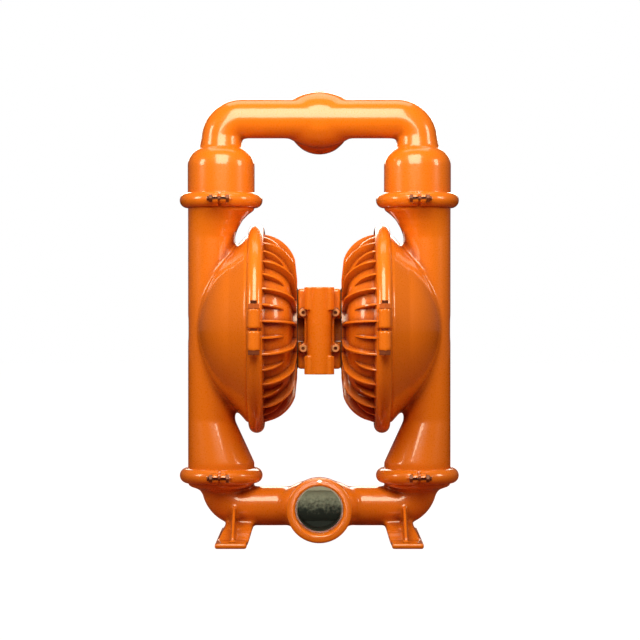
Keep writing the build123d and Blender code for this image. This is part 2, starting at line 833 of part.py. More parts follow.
def outer_plate():
    """The plate on the liquid side of the right diaphragm, closed over the shaft end."""
    x = plate_outer_x
    end = shaft_half_length + running_gap
    points = [
        (x, shaft_r + running_gap), (x, plate_r), (x + plate_edge, plate_r),
        (x + outer_plate_thickness, outer_plate_hub_r), (x + outer_plate_thickness, 0),
        (end, 0), (end, shaft_r + running_gap),
    ]
    return turned_about_shaft(Polyline(*points, close=True))


# Centre block
def block_outline(grow=0.0):
    """The block seen along X, with clipped corners."""
    face = Rectangle(2 * (block_half_depth + grow), 2 * (block_half_height + grow))
    return chamfer(face.vertices(), block_chamfer)


def center_block():
    """The block that carries the shaft, the air ports and the air valve."""
    body = Pos(-block_half_x, 0, shaft_z) * extrude(Plane.YZ * block_outline(), 2 * block_half_x)
    ports = [(air_port_offset, air_inlet_r, air_inlet_depth), (-air_port_offset, air_exhaust_r, air_exhaust_depth)]
    face_y = block_half_depth + air_port_reach
    for offset, radius, _ in ports:
        body = body + along_y(radius + air_port_wall, 0, face_y, 0, shaft_z + offset)
    for offset, radius, depth in ports:
        body = body - along_y(radius, face_y - depth, face_y + 1, 0, shaft_z + offset)
    body = body - along_x(block_bore_r, -block_half_x, block_half_x, 0, shaft_z)
    for x_sign in (1, -1):
        start = x_sign * (block_half_x - seal_length - bushing_length)
        body = body - along_x(bushing_r, start, x_sign * (block_half_x + 1), 0, shaft_z)
        pocket_half = (block_half_x - valve_head_half_width) / 2
        pocket_x = x_sign * (block_half_x - pocket_half)
        body = body - Pos(pocket_x, block_front_y, valve_z) * Box(
            2 * pocket_half, 2 * pocket_depth, pocket_height
        )
    for y, z in chamber_bolt_places():
        for x_sign in (1, -1):
            hole = along_x(
                chamber_bolt_r + running_gap, x_sign * (block_half_x - chamber_bolt_depth - 1),
                x_sign * (block_half_x + 1), y, z,
            )
            body = body - hole
    for x, z in valve_screw_places():
        body = body - along_y(
            valve_screw_r + running_gap, block_front_y - 1, block_front_y + valve_screw_depth + 1, x, z
        )
    return body


def block_gasket():
    """The flat gasket between the block and the right air chamber."""
    body = Pos(block_half_x, 0, shaft_z) * extrude(Plane.YZ * block_outline(), gasket_thickness)
    body = body - along_x(bushing_r, 0, chamber_split_x, 0, shaft_z)
    for y, z in chamber_bolt_places():
        body = body - along_x(chamber_bolt_r + bolt_hole_gap, 0, chamber_split_x, y, z)
    return body


def chamber_bolts():
    """The bolts that hold both air chambers to the block, heads inside the chambers."""
    head_x = air_inner_face_x + air_hub_thickness
    bolts = []
    for y, z in chamber_bolt_places():
        shank = along_x(chamber_bolt_r, block_half_x - chamber_bolt_depth, head_x, y, z)
        head = Pos(head_x, y, z) * Rot(0, 90, 0) * hex_prism(chamber_hex, chamber_head)
        bolts.append(shank + head)
    return bolts + [mirrored(bolt) for bolt in bolts]


def shaft_bushing():
    """The right shaft bushing in its counterbore."""
    end = block_half_x - seal_length
    bush = along_x(bushing_r - running_gap, end - bushing_length + running_gap, end, 0, shaft_z)
    return bush - along_x(shaft_r + running_gap, 0, block_half_x, 0, shaft_z)


def shaft_seal():
    """The right shaft seal between the bushing and the air chamber."""
    start = block_half_x - seal_length + running_gap
    ring = along_x(bushing_r - running_gap, start, air_inner_face_x - running_gap, 0, shaft_z)
    return ring - along_x(shaft_r + running_gap, 0, chamber_split_x, 0, shaft_z)


# Air valve
def valve_screw_places():
    """The (x, z) places of the four screws through the valve flange."""
    return [(x * valve_screw_x, valve_z + z * valve_screw_z) for x in (1, -1) for z in (1, -1)]


def valve_flange(thickness):
    """The flat foot of the air valve: a plate with two pairs of screw lugs, standing on its back."""
    outline = Rectangle(2 * valve_head_half_width, 2 * valve_flange_half_height)
    lugs = RectangleRounded(2 * valve_flange_half_width, valve_lug_height, valve_lug_r)
    for z_sign in (1, -1):
        outline = outline + Pos(0, z_sign * valve_screw_z) * lugs
    return Rot(90, 0, 0) * extrude(outline, thickness)


def valve_head(height):
    """One squared end of the valve, clipped at its front corners."""
    half = valve_head_half_width
    depth = valve_head_depth
    clip = valve_head_chamfer
    outline = Polyline(
        (-half, 0), (-half, -depth + clip), (-half + clip, -depth),
        (half - clip, -depth), (half, -depth + clip), (half, 0), close=True,
    )
    block = Pos(0, valve_back_y, 0) * extrude(make_face(outline), height)
    outer_edges = block.faces().sort_by(Axis.Z)[-1].edges()
    return chamfer(outer_edges.sort_by(Axis.Y)[0:3], valve_head_chamfer / 2)


def air_valve_body():
    """The cast valve body: round barrel, squared ends and a flange for four screws."""
    barrel = Pos(0, valve_axis_y, valve_z) * Cylinder(valve_barrel_r, 2 * valve_half_height)
    web = Pos(0, (valve_axis_y + valve_back_y) / 2, valve_z) * Box(
        2 * valve_barrel_r, valve_axis_offset, 2 * valve_half_height
    )
    top = Pos(0, 0, valve_z + valve_half_height - valve_top_head) * valve_head(valve_top_head)
    low = mirror(valve_head(valve_bottom_head), about=Plane.XY)
    low = Pos(0, 0, valve_z - valve_half_height + valve_bottom_head) * low
    flange = Pos(0, valve_back_y, valve_z) * valve_flange(valve_flange_thickness)
    body = barrel + web + top + low + flange
    bore = Pos(0, valve_axis_y, valve_z)
    body = body - bore * Cylinder(spool_bore_r, 3 * valve_half_height)
    seat_z = valve_cap_seat_z - valve_z
    groove_z = seat_z + valve_cap_thickness
    for z_sign in (1, -1):
        depth = valve_half_height - seat_z + 1
        body = body - bore * Pos(0, 0, z_sign * (seat_z + depth / 2)) * Cylinder(
            valve_cap_r + running_gap, depth
        )
        body = body - bore * Pos(0, 0, z_sign * (groove_z + snap_ring_thickness / 2)) * Cylinder(
            valve_cap_r + snap_ring_bite, snap_ring_thickness + 2 * running_gap
        )
    for x, z in valve_screw_places():
        body = body - along_y(valve_screw_r + bolt_hole_gap, 0, valve_axis_y * 2, x, z)
        counterbore = along_y(
            valve_screw_head_r + bolt_hole_gap, valve_back_y - valve_flange_thickness, valve_axis_y * 2, x, z
        )
        body = body - counterbore
    return body


def air_valve_gasket():
    """The gasket between the valve flange and the block."""
    body = Pos(0, block_front_y, valve_z) * valve_flange(gasket_thickness)
    for x, z in valve_screw_places():
        body = body - along_y(valve_screw_r + bolt_hole_gap, 0, valve_axis_y, x, z)
    for z in (-1, 0, 1):
        slot = Box(2 * spool_bore_r, 4 * block_half_depth, spool_bore_r)
        body = body - Pos(0, 0, valve_z + z * valve_screw_z * air_passage_share) * slot
    return body


def air_valve_screws():
    """The four socket head screws of the air valve."""
    screws = []
    head_y = valve_back_y - valve_flange_thickness
    for x, z in valve_screw_places():
        shank = along_y(valve_screw_r, head_y, block_front_y + valve_screw_depth, x, z)
        head = along_y(valve_screw_head_r, head_y, head_y - valve_screw_head, x, z)
        socket_depth = valve_screw_head * socket_share
        socket = Pos(x, head_y - valve_screw_head + socket_depth, z) * Rot(90, 0, 0) * hex_prism(
            valve_screw_socket, socket_depth
        )
        screws.append(shank + head - socket)
    return screws


def valve_cap():
    """The upper valve cap with the groove of its sealing ring."""
    z = valve_cap_seat_z
    half = valve_cap_thickness / 2
    groove = cap_ring_r + running_gap
    inner = valve_cap_r - 2 * groove
    outer = valve_cap_r
    points = [
        (0, 0), (outer, 0), (outer, half - groove), (inner, half - groove),
        (inner, half + groove), (outer, half + groove), (outer, 2 * half), (0, 2 * half),
    ]
    return Pos(0, valve_axis_y, z) * revolve(closed_face(points), Axis.Z)


def valve_cap_ring():
    """The sealing ring of the upper valve cap."""
    z = valve_cap_seat_z + valve_cap_thickness / 2
    return Pos(0, valve_axis_y, z) * Torus(valve_cap_r - cap_ring_r - running_gap, cap_ring_r)


def snap_ring():
    """The open ring that holds the upper valve cap."""
    outer = valve_cap_r + snap_ring_bite - running_gap
    inner = outer - snap_ring_width
    height = snap_ring_thickness
    section = closed_face([(inner, 0), (outer, 0), (outer, height), (inner, height)])
    ring = revolve(section, Axis.Z, 360 - snap_ring_gap_deg)
    return Pos(0, valve_axis_y, valve_cap_seat_z + valve_cap_thickness) * ring


def flipped(body):
    """The same body at the other end of the valve."""
    return mirror(body, about=Plane((0, 0, valve_z)))


def valve_spool():
    """The sliding spool with its lands, resting just above the lower cap."""
    bottom = 2 * valve_z - valve_cap_seat_z + rest_gap
    land_r = spool_bore_r - running_gap
    pitch = (spool_length - spool_land) / (spool_land_count - 1)
    spool = Pos(0, valve_axis_y, bottom) * Cylinder(spool_waist_r, spool_length, align=on_floor)
    for index in range(spool_land_count):
        land = Cylinder(land_r, spool_land, align=on_floor)
        spool = spool + Pos(0, valve_axis_y, bottom + index * pitch) * land
    return spool


# Nodes: name of each piece or group of alike pieces, with its bodies
nodes = {
    "inlet_manifold": inlet_manifold(),
    "discharge_manifold": discharge_manifold(),
    "center_block": center_block(),
    "air_valve_body": air_valve_body(),
    "air_valve_gasket": air_valve_gasket(),
    "air_valve_screws": air_valve_screws(),
    "valve_spool": valve_spool(),
    "valve_top_cap": valve_cap(),
    "valve_bottom_cap": flipped(valve_cap()),
    "valve_snap_rings": [snap_ring(), flipped(snap_ring())],
    "valve_cap_rings": [valve_cap_ring(), flipped(valve_cap_ring())],
    "air_chamber_bolts": chamber_bolts(),
    "shaft": along_x(shaft_r, -shaft_half_length, shaft_half_length, 0, shaft_z),
}

right_parts = {
    "liquid_chamber": liquid_chamber(),
    "air_chamber": air_chamber(),
    "diaphragm": diaphragm(),
    "inner_plate": inner_plate(),
    "outer_plate": outer_plate(),
    "block_gasket": block_gasket(),
    "shaft_bushing": shaft_bushing(),
    "shaft_seal": shaft_seal(),
}
for name, body in right_parts.items():
    nodes["right_" + name] = body
    nodes["left_" + name] = mirrored(body)

large_half = clamp_half(rim_r, rim_lip_r, large_clamp_r, large_clamp_width, large_ear, large_bolt)
large_bolts, large_nuts = clamp_bolts(
    large_clamp_r, large_ear_length, large_bolt_r, large_bolt_offset, large_hex, large_head
)
small_half = clamp_half(tube_r, small_lip_r, small_clamp_r, small_clamp_width, small_ear, small_bolt)
small_bolts, small_nuts = clamp_bolts(
    small_clamp_r, small_ear_length, small_bolt_r, small_bolt_offset, small_hex, small_head
)

nodes["large_clamp_bolts"] = []
nodes["large_clamp_nuts"] = []
nodes["small_clamp_bolts"] = []
nodes["small_clamp_nuts"] = []
nodes["seat_rings"] = []
for side, x_sign in sides.items():
    # A large clamp stands upright round the shaft axis: its +X side turns up
    place = Pos(x_sign * chamber_split_x, 0, shaft_z) * Rot(0, -90, 0)
    nodes[side + "_upper_large_clamp"] = place * large_half
    nodes[side + "_lower_large_clamp"] = place * Rot(0, 0, 180) * large_half
    nodes["large_clamp_bolts"] += [place * bolt for bolt in large_bolts]
    nodes["large_clamp_nuts"] += [place * nut for nut in large_nuts]
    for level, joint_z in (("inlet", lower_joint_z), ("discharge", upper_joint_z)):
        place = Pos(x_sign * tube_x, 0, joint_z)
        turn = Rot(0, 0, 0 if x_sign > 0 else 180)
        nodes[f"{side}_{level}_clamp_outer_half"] = place * turn * small_half
        nodes[f"{side}_{level}_clamp_inner_half"] = place * turn * Rot(0, 0, 180) * small_half
        nodes["small_clamp_bolts"] += [place * turn * bolt for bolt in small_bolts]
        nodes["small_clamp_nuts"] += [place * turn * nut for nut in small_nuts]
        nodes[f"{side}_{level}_valve_seat"] = place * valve_seat()
        nodes["seat_rings"].append(place * seat_ring())
        nodes[f"{side}_{level}_ball"] = place * Pos(0, 0, ball_rest_z) * Sphere(ball_r)

os.makedirs("parts", exist_ok=True)
for name, body in nodes.items():
    if isinstance(body, list):
        body = Compound(children=[piece for piece in body])
    export_step(body, f"parts/{name}.step")
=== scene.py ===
import json
import math
import bmesh
import bpy
from mathutils import Matrix, Vector


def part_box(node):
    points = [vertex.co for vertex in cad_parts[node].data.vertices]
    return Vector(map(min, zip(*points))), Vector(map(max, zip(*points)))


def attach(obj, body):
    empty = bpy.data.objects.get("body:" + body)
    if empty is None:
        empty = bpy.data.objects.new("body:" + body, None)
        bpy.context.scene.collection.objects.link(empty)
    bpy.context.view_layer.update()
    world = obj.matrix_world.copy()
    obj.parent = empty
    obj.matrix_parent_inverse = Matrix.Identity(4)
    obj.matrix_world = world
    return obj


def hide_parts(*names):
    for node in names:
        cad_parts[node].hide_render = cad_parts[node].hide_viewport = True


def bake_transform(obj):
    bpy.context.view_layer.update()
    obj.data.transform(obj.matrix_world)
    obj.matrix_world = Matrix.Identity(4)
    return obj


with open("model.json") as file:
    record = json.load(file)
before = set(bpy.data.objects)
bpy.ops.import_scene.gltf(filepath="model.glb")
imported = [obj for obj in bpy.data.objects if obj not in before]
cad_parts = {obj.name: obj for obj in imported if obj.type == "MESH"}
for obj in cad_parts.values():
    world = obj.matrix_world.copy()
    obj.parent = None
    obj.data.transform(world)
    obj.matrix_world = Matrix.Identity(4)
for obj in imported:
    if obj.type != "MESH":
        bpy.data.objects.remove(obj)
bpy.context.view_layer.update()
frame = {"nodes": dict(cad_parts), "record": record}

record = frame["record"]
mm = 0.001
tau = 2 * math.pi
tidy_distance = 1e-6
X, Y, Z = Vector((1, 0, 0)), Vector((0, 1, 0)), Vector((0, 0, 1))


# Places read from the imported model
def middle(node):
    """The centre of a node's box."""
    low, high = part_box(node)
    return (low + high) / 2


shaft_z = middle("shaft").z
tube_x = middle("right_inlet_ball").x
lower_joint_z = middle("right_inlet_clamp_outer_half").z
upper_joint_z = middle("right_discharge_clamp_outer_half").z
split_x = middle("right_upper_large_clamp").x
block_half_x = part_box("center_block")[1].x
block_front_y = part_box("center_block")[0].y
valve_low, valve_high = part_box("air_valve_body")
foot_half_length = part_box("inlet_manifold")[1].y
air_face_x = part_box("right_air_chamber")[0].x
dome_apex_x = 221.7 * mm

# Sizes of the castings that the boxes do not give
tube_r = 60 * mm
waist_r = 42.5 * mm
waist_low_z, waist_high_z = 218 * mm, 549.5 * mm
low_taper_z = 142 * mm
high_taper = [(549.5, 42.5), (565, 45.2), (580, 49.5), (590, 54.5), (598, 60)]
rim_r = 170 * mm
rim_lip_r = 182 * mm
rim_width = 17 * mm
lip_edge = 5 * mm
lip_slope = math.tan(math.radians(20))
small_lip_r = 69 * mm
large_clamp_r = 189 * mm
small_clamp_r = 75 * mm
inlet_z = 63 * mm
discharge_z = 763 * mm
pipe_r = 35.5 * mm
elbow_r = 37 * mm
passage_r = 27.5 * mm
neck_z = 711 * mm
port_r = 58 * mm
port_body_r = 50 * mm
port_reach = 100 * mm
port_bore_r = 38.5 * mm
port_thread_r = 43 * mm
port_thread_depth = 40 * mm
foot_hole_x, foot_hole_y = 152.5 * mm, 128.5 * mm
valve_half_x = 26.5 * mm
valve_flange = 12 * mm
valve_middle_z = (valve_low.z + valve_high.z) / 2
valve_screw_x, valve_screw_z = 28.7 * mm, 31.7 * mm
sides = (("left", -1), ("right", 1))


# Mesh helpers
def mesh_of(bm):
    """Close up a bmesh, point its faces outwards and return it as a mesh."""
    bmesh.ops.remove_doubles(bm, verts=bm.verts, dist=tidy_distance)
    holes = [edge for edge in bm.edges if len(edge.link_faces) == 1]
    if holes:
        bmesh.ops.holes_fill(bm, edges=holes, sides=0)
    bmesh.ops.recalc_face_normals(bm, faces=bm.faces)
    mesh = bpy.data.meshes.new("draft")
    bm.to_mesh(mesh)
    bm.free()
    return mesh


def side_of(axis):
    """A direction square to an axis, where outlines are drawn before they turn."""
    return Y if abs(axis.z) < 0.5 and abs(axis.y) < 0.5 else X


def turned(outline, centre, axis=Z, steps=128, start=0.0, angle=tau, closed=False):
    """A body turned from (along, radius) points about an axis through a centre."""
    bm = bmesh.new()
    side = side_of(axis)
    verts = [bm.verts.new(centre + axis * along + side * radius) for along, radius in outline]
    pairs = list(zip(verts, verts[1:]))
    if closed:
        pairs.append((verts[-1], verts[0]))
    edges = [bm.edges.new(pair) for pair in pairs]
    full = abs(angle - tau) < 1e-9
    if start:
        bmesh.ops.rotate(bm, verts=verts, cent=centre, matrix=Matrix.Rotation(start, 3, axis))
    bmesh.ops.spin(
        bm, geom=verts + edges, cent=centre, axis=axis, angle=angle, steps=steps, use_merge=full
    )
    return mesh_of(bm)


def bar(radius, start, end, steps=64):
    """A round bar between two points."""
    axis = (end - start).normalized()
    length = (end - start).length
    return turned([(0, 0), (0, radius), (length, radius), (length, 0)], start, axis, steps)


def block(low, high, edge=0.0, segments=3):
    """A box between two corners, with its edges rounded."""
    low, high = Vector(low), Vector(high)
    bm = bmesh.new()
    bmesh.ops.create_cube(bm, size=1)
    bmesh.ops.scale(bm, vec=high - low, verts=bm.verts)
    bmesh.ops.translate(bm, vec=(low + high) / 2, verts=bm.verts)
    if edge:
        bmesh.ops.bevel(
            bm, geom=bm.edges, offset=edge, offset_type="OFFSET", segments=segments,
            profile=0.5, affect="EDGES", material=-1,
        )
    return mesh_of(bm)


def plate(outline, thickness, plane_axes, centre, crest=0, thin=1.0, edge=0.0):
    """A flat plate from (u, v) points, the first of which may form a thinner crest with rounded edges."""
    across, up = plane_axes
    normal = across.cross(up)
    half = thickness / 2
    bm = bmesh.new()
    layers = []
    sharp = ((-1, 0.0), (1, 0.0))
    rounded = ((-1, 0.0), (-1, edge), (1, edge), (1, 0.0))
    for sign, inset in rounded if edge else sharp:
        layer = []
        for index, (u, v) in enumerate(outline):
            offset = half - inset
            if index < crest:
                offset = half * thin - inset
                (u0, v0), (u1, v1) = outline[max(index - 1, 0)], outline[min(index + 1, crest - 1)]
                length = math.hypot(u1 - u0, v1 - v0)
                u, v = u - (v1 - v0) / length * (edge - inset), v + (u1 - u0) / length * (edge - inset)
            layer.append(bm.verts.new(centre + across * u + up * v + normal * sign * offset))
        layers.append(layer)
    for layer in (layers[0], layers[-1]):
        bmesh.ops.triangulate(bm, faces=[bm.faces.new(layer)])
    count = len(outline)
    for low, high in zip(layers, layers[1:]):
        for index in range(count):
            after = (index + 1) % count
            bm.faces.new([low[index], low[after], high[after], high[index]])
    return mesh_of(bm)


def only(geometry, kind):
    """The vertices or the edges among what a mesh operator gives back."""
    return [item for item in geometry if isinstance(item, kind)]


def prism(points, reach):
    """A flat outline pushed along a vector into a closed body."""
    bm = bmesh.new()
    face = bm.faces.new([bm.verts.new(point) for point in points])
    grown = bmesh.ops.extrude_face_region(bm, geom=[face])["geom"]
    bmesh.ops.translate(bm, vec=reach, verts=only(grown, bmesh.types.BMVert))
    return mesh_of(bm)


def copied(mesh, matrix):
    """A copy of a mesh, moved, turned or mirrored."""
    bm = bmesh.new()
    bm.from_mesh(mesh)
    bmesh.ops.transform(bm, matrix=matrix, verts=bm.verts)
    return mesh_of(bm)


def mirrored(mesh):
    """The same mesh on the other side of the centre plane."""
    return copied(mesh, Matrix.Scale(-1, 4, X))


def joined(meshes):
    """Several meshes as one."""
    bm = bmesh.new()
    for mesh in meshes:
        bm.from_mesh(mesh)
    whole = bpy.data.meshes.new("draft")
    bm.to_mesh(whole)
    bm.free()
    return whole


def add_object(name, mesh):
    """A linked object for a mesh."""
    mesh.name = name
    obj = bpy.data.objects.new(name, mesh)
    bpy.context.scene.collection.objects.link(obj)
    return obj


def applied(obj):
    """The mesh that an object's modifiers give."""
    graph = bpy.context.evaluated_depsgraph_get()
    mesh = bpy.data.meshes.new_from_object(obj.evaluated_get(graph))
    obj.modifiers.clear()
    old = obj.data
    obj.data = mesh
    mesh.name = old.name
    bpy.data.meshes.remove(old)
    return obj


def fused(meshes, voxel):
    """One skin round overlapping closed bodies, as a casting has."""
    obj = add_object("fused", joined(meshes))
    remesh = obj.modifiers.new("skin", "REMESH")
    remesh.mode = "VOXEL"
    remesh.voxel_size = voxel
    remesh.use_smooth_shade = True
    return applied(obj)


def softened(obj, rounds, factor=0.5, where=None, more=0):
    """Round off the edges of a casting, with extra rounds where a test holds."""
    bm = bmesh.new()
    bm.from_mesh(obj.data)
    chosen = [vert for vert in bm.verts if where and where(vert.co)]
    for _ in range(more):
        bmesh.ops.smooth_vert(
            bm, verts=chosen, factor=factor, use_axis_x=True, use_axis_y=True, use_axis_z=True
        )
    for _ in range(rounds):
        bmesh.ops.smooth_vert(
            bm, verts=bm.verts, factor=factor, use_axis_x=True, use_axis_y=True, use_axis_z=True
        )
    bm.to_mesh(obj.data)
    bm.free()
    return obj


def mesh_taken(obj):
    """The mesh of an object that is then removed."""
    mesh = obj.data
    bpy.data.objects.remove(obj)
    return mesh


def combined(obj, meshes, operation):
    """Add closed bodies to a piece, take them away or keep what they share, with crisp edges."""
    tool = add_object("tool", joined(meshes))
    boolean = obj.modifiers.new("change", "BOOLEAN")
    boolean.operation = operation
    boolean.solver = "MANIFOLD"
    boolean.object = tool
    applied(obj)
    bpy.data.objects.remove(tool)
    return obj


def cut(obj, tools):
    """Take closed bodies away from a piece."""
    return combined(obj, tools, "DIFFERENCE")


def smooth_shaded(obj, sharp_deg=40):
    """Smooth shading with sharp creases past an angle."""
    mesh = obj.data
    for polygon in mesh.polygons:
        polygon.use_smooth = True
    bm = bmesh.new()
    bm.from_mesh(mesh)
    limit = math.radians(sharp_deg)
    for edge in bm.edges:
        edge.smooth = len(edge.link_faces) != 2 or edge.calc_face_angle(0) < limit
    bm.to_mesh(mesh)
    bm.free()
    return obj


def finished(obj, name, material, slot, body, *nodes):
    """Name a piece, give it its finish and let it ride on a body, if one is named, in place of CAD nodes."""
    obj.name = name
    obj.data.name = name
    obj.data.materials.clear()
    obj.data.materials.append(material)
    if body:
        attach(obj, body)
    if nodes:
        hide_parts(*nodes)
    return obj


# Shader helpers
def node_group(name, inputs, outputs):
    """An empty shader group with named sockets."""
    group = bpy.data.node_groups.new(name, "ShaderNodeTree")
    for label, kind, value in inputs:
        socket = group.interface.new_socket(name=label, in_out="INPUT", socket_type=kind)
        socket.default_value = value
    for label, kind in outputs:
        group.interface.new_socket(name=label, in_out="OUTPUT", socket_type=kind)
    entry = group.nodes.new("NodeGroupInput")
    leave = group.nodes.new("NodeGroupOutput")
    return group, entry, leave


def add_node(tree, kind, inputs=(), **settings):
    """A shader node with its settings, whose inputs take values or links."""
    node = tree.nodes.new(kind)
    for label, value in settings.items():
        setattr(node, label, value)
    for label, value in dict(inputs).items():
        if isinstance(value, bpy.types.NodeSocket):
            tree.links.new(value, node.inputs[label])
        else:
            node.inputs[label].default_value = value
    return node


def calc(tree, operation, *values, clamp=False):
    """The result of a sum on values or links."""
    node = add_node(tree, "ShaderNodeMath", enumerate(values), operation=operation, use_clamp=clamp)
    return node.outputs[0]


def ranged(tree, value, low, high, top=1.0, **settings):
    """How far a value is from a low towards a high one, as a share of a top value."""
    inputs = {"Value": value, "From Min": low, "From Max": high, "To Max": top}
    return add_node(tree, "ShaderNodeMapRange", inputs, **settings).outputs["Result"]


def blended(tree, factor, first, second, kind="FLOAT"):
    """A mix of two values or two colours."""
    inputs = {"Factor": factor, "A": first, "B": second}
    return add_node(tree, "ShaderNodeMix", inputs, data_type=kind).outputs["Result"]


def noise(tree, place, scale, detail):
    """The value of a noise at a place."""
    inputs = {"Vector": place, "Scale": scale, "Detail": detail}
    return add_node(tree, "ShaderNodeTexNoise", inputs).outputs["Fac"]


def surface_and_painted_shade_group():
    """Cast surface under paint: broad waves, fine pits and slow colour drift, with painted shade that darkens
    hollows and crevices.
    """
    group, entry, leave = node_group(
        "cast_surface_and_painted_shade",
        [("Colour", "NodeSocketColor", (1, 1, 1, 1)), ("Dark Colour", "NodeSocketColor", (0, 0, 0, 1)),
         ("Drift", "NodeSocketFloat", 0.3), ("Wave Scale", "NodeSocketFloat", 40.0),
         ("Grain Scale", "NodeSocketFloat", 600.0), ("Grain Share", "NodeSocketFloat", 0.3),
         ("Roughness", "NodeSocketFloat", 0.25), ("Roughness Drift", "NodeSocketFloat", 0.08)],
        [("Colour", "NodeSocketColor"), ("Roughness", "NodeSocketFloat"), ("Height", "NodeSocketFloat")],
    )
    given = entry.outputs
    place = add_node(group, "ShaderNodeTexCoord").outputs["Object"]
    wave = noise(group, place, given["Wave Scale"], 3)
    fine = noise(group, place, given["Grain Scale"], 2)
    slow = noise(group, place, 9, 4)
    # Painted shade: hollows found by pointiness and crevices found by occlusion darken the colour where shade
    # falls.
    pointed = add_node(group, "ShaderNodeNewGeometry").outputs["Pointiness"]
    painted_hollow_shade = ranged(group, pointed, 0.5, 0.38, 0.6)
    painted_shade_occlusion = add_node(group, "ShaderNodeAmbientOcclusion", {"Distance": 22 * mm}, samples=8, only_local=True)
    deep = ranged(group, painted_shade_occlusion.outputs["AO"], 0.92, 0.35)
    drift = calc(group, "MULTIPLY", slow, given["Drift"])
    # Real colour drift and painted shade together set how dark the colour is.
    drift_and_painted_shade = calc(group, "ADD", drift, calc(group, "MAXIMUM", painted_hollow_shade, deep), clamp=True)
    results = {
        "Colour": blended(group, drift_and_painted_shade, given["Colour"], given["Dark Colour"], "RGBA"),
        "Roughness": calc(group, "MULTIPLY_ADD", fine, given["Roughness Drift"], given["Roughness"]),
        "Height": blended(group, given["Grain Share"], wave, fine),
    }
    for label, result in results.items():
        group.links.new(result, leave.inputs[label])
    return group


def bore_group():
    """Where a port bore and the passage behind it are bare iron, and how high up in the bore a point is,
    which sets the painted light and shade there.
    """
    group, entry, leave = node_group(
        "bare_bore",
        [("Port Height", "NodeSocketFloat", inlet_z), ("Direction", "NodeSocketFloat", -1.0)],
        [("Bare", "NodeSocketFloat"), ("Painted Light Height", "NodeSocketFloat")],
    )
    place = add_node(group, "ShaderNodeTexCoord").outputs["Object"]
    x, y, z = add_node(group, "ShaderNodeSeparateXYZ", {0: place}).outputs
    up = calc(group, "SUBTRACT", z, entry.outputs["Port Height"])
    up_square = calc(group, "MULTIPLY", up, up)

    def within(across, radius):
        square = calc(group, "ADD", calc(group, "MULTIPLY", across, across), up_square)
        return calc(group, "LESS_THAN", square, radius ** 2)

    in_bore = within(x, port_bore_r + 2 * mm)
    in_pipe = within(y, passage_r + 3.5 * mm)
    ahead = calc(group, "GREATER_THAN", calc(group, "MULTIPLY", y, entry.outputs["Direction"]), -1 * mm)
    bare = calc(group, "MULTIPLY", in_bore, calc(group, "MAXIMUM", in_pipe, ahead))
    # A ragged edge between the painted shade below and the painted light above in the bore.
    pits = calc(group, "SUBTRACT", noise(group, place, 180, 4), 0.5)
    ragged = calc(group, "MULTIPLY_ADD", pits, 40 * mm, up)
    high = ranged(group, ragged, -16 * mm, 24 * mm, interpolation_type="SMOOTHSTEP")
    group.links.new(bare, leave.inputs["Bare"])
    group.links.new(high, leave.inputs["Painted Light Height"])
    return group


cast_surface_and_painted_shade = surface_and_painted_shade_group()
bare_bore = bore_group()


def linear(red, green, blue):
    """A colour read off a screen, as the shader takes it."""
    def channel(value):
        value /= 255
        return value / 12.92 if value <= 0.04045 else ((value + 0.055) / 1.055) ** 2.4
    return (channel(red), channel(green), channel(blue), 1.0)


def material(name, colour, dark, roughness, metallic=0.0, coat=0.0, coat_roughness=0.05, bump=0.02,
             wave_scale=40.0, grain_scale=600.0, grain_share=0.3, drift=0.3, roughness_drift=0.08, ior=1.5):
    """A finish whose colour, roughness and relief all come from the cast surface group, whose colour also
    holds painted shade in hollows and crevices.
    """
    made = bpy.data.materials.new(name)
    made.use_nodes = True
    tree = made.node_tree
    shader = tree.nodes["Principled BSDF"]
    values = {
        "Colour": colour, "Dark Colour": dark, "Drift": drift, "Wave Scale": wave_scale,
        "Grain Scale": grain_scale, "Grain Share": grain_share, "Roughness": roughness,
        "Roughness Drift": roughness_drift,
    }
    surface_and_shade_node = add_node(tree, "ShaderNodeGroup", values, node_tree=cast_surface_and_painted_shade)
    height = surface_and_shade_node.outputs["Height"]
    relief = add_node(tree, "ShaderNodeBump", {"Strength": bump, "Distance": mm, "Height": height})
    # This colour holds painted shade in hollows and crevices as well as the real colour drift.
    tree.links.new(surface_and_shade_node.outputs["Colour"], shader.inputs["Base Color"])
    tree.links.new(surface_and_shade_node.outputs["Roughness"], shader.inputs["Roughness"])
    tree.links.new(relief.outputs["Normal"], shader.inputs["Normal"])
    shader.inputs["Metallic"].default_value = metallic
    shader.inputs["Coat Weight"].default_value = coat
    shader.inputs["Coat Roughness"].default_value = coat_roughness
    shader.inputs["IOR"].default_value = ior
    return made


# The dark colour serves both the random drift and the painted shade in hollows and crevices.
enamel = material(
    "orange_enamel", linear(243, 127, 22), linear(122, 26, 14), 0.24, coat=0.9, coat_roughness=0.05,
    bump=0.22, wave_scale=55, grain_scale=420, grain_share=0.25, drift=0.12,
)


def with_bare_bore(name, port_height, direction):
    """The enamel of a manifold whose port bore was left unpainted, with painted light on the upper bore and
    painted shade on the lower.
    """
    made = enamel.copy()
    made.name = name
    tree = made.node_tree
    shader = tree.nodes["Principled BSDF"]
    port = {"Port Height": port_height, "Direction": direction}
    mask = add_node(tree, "ShaderNodeGroup", port, node_tree=bare_bore)
    # Painted light and shade: the bare iron is pale towards the top of the bore and dark towards the bottom.
    iron = blended(tree, mask.outputs["Painted Light Height"], linear(40, 44, 36), linear(196, 196, 166), "RGBA")
    for label, bare in {"Base Color": iron, "Roughness": 0.85, "Coat Weight": 0.0}.items():
        socket = shader.inputs[label]
        painted = socket.links[0].from_socket if socket.is_linked else socket.default_value
        kind = "RGBA" if label == "Base Color" else "FLOAT"
        tree.links.new(blended(tree, mask.outputs["Bare"], painted, bare, kind), socket)
    return made


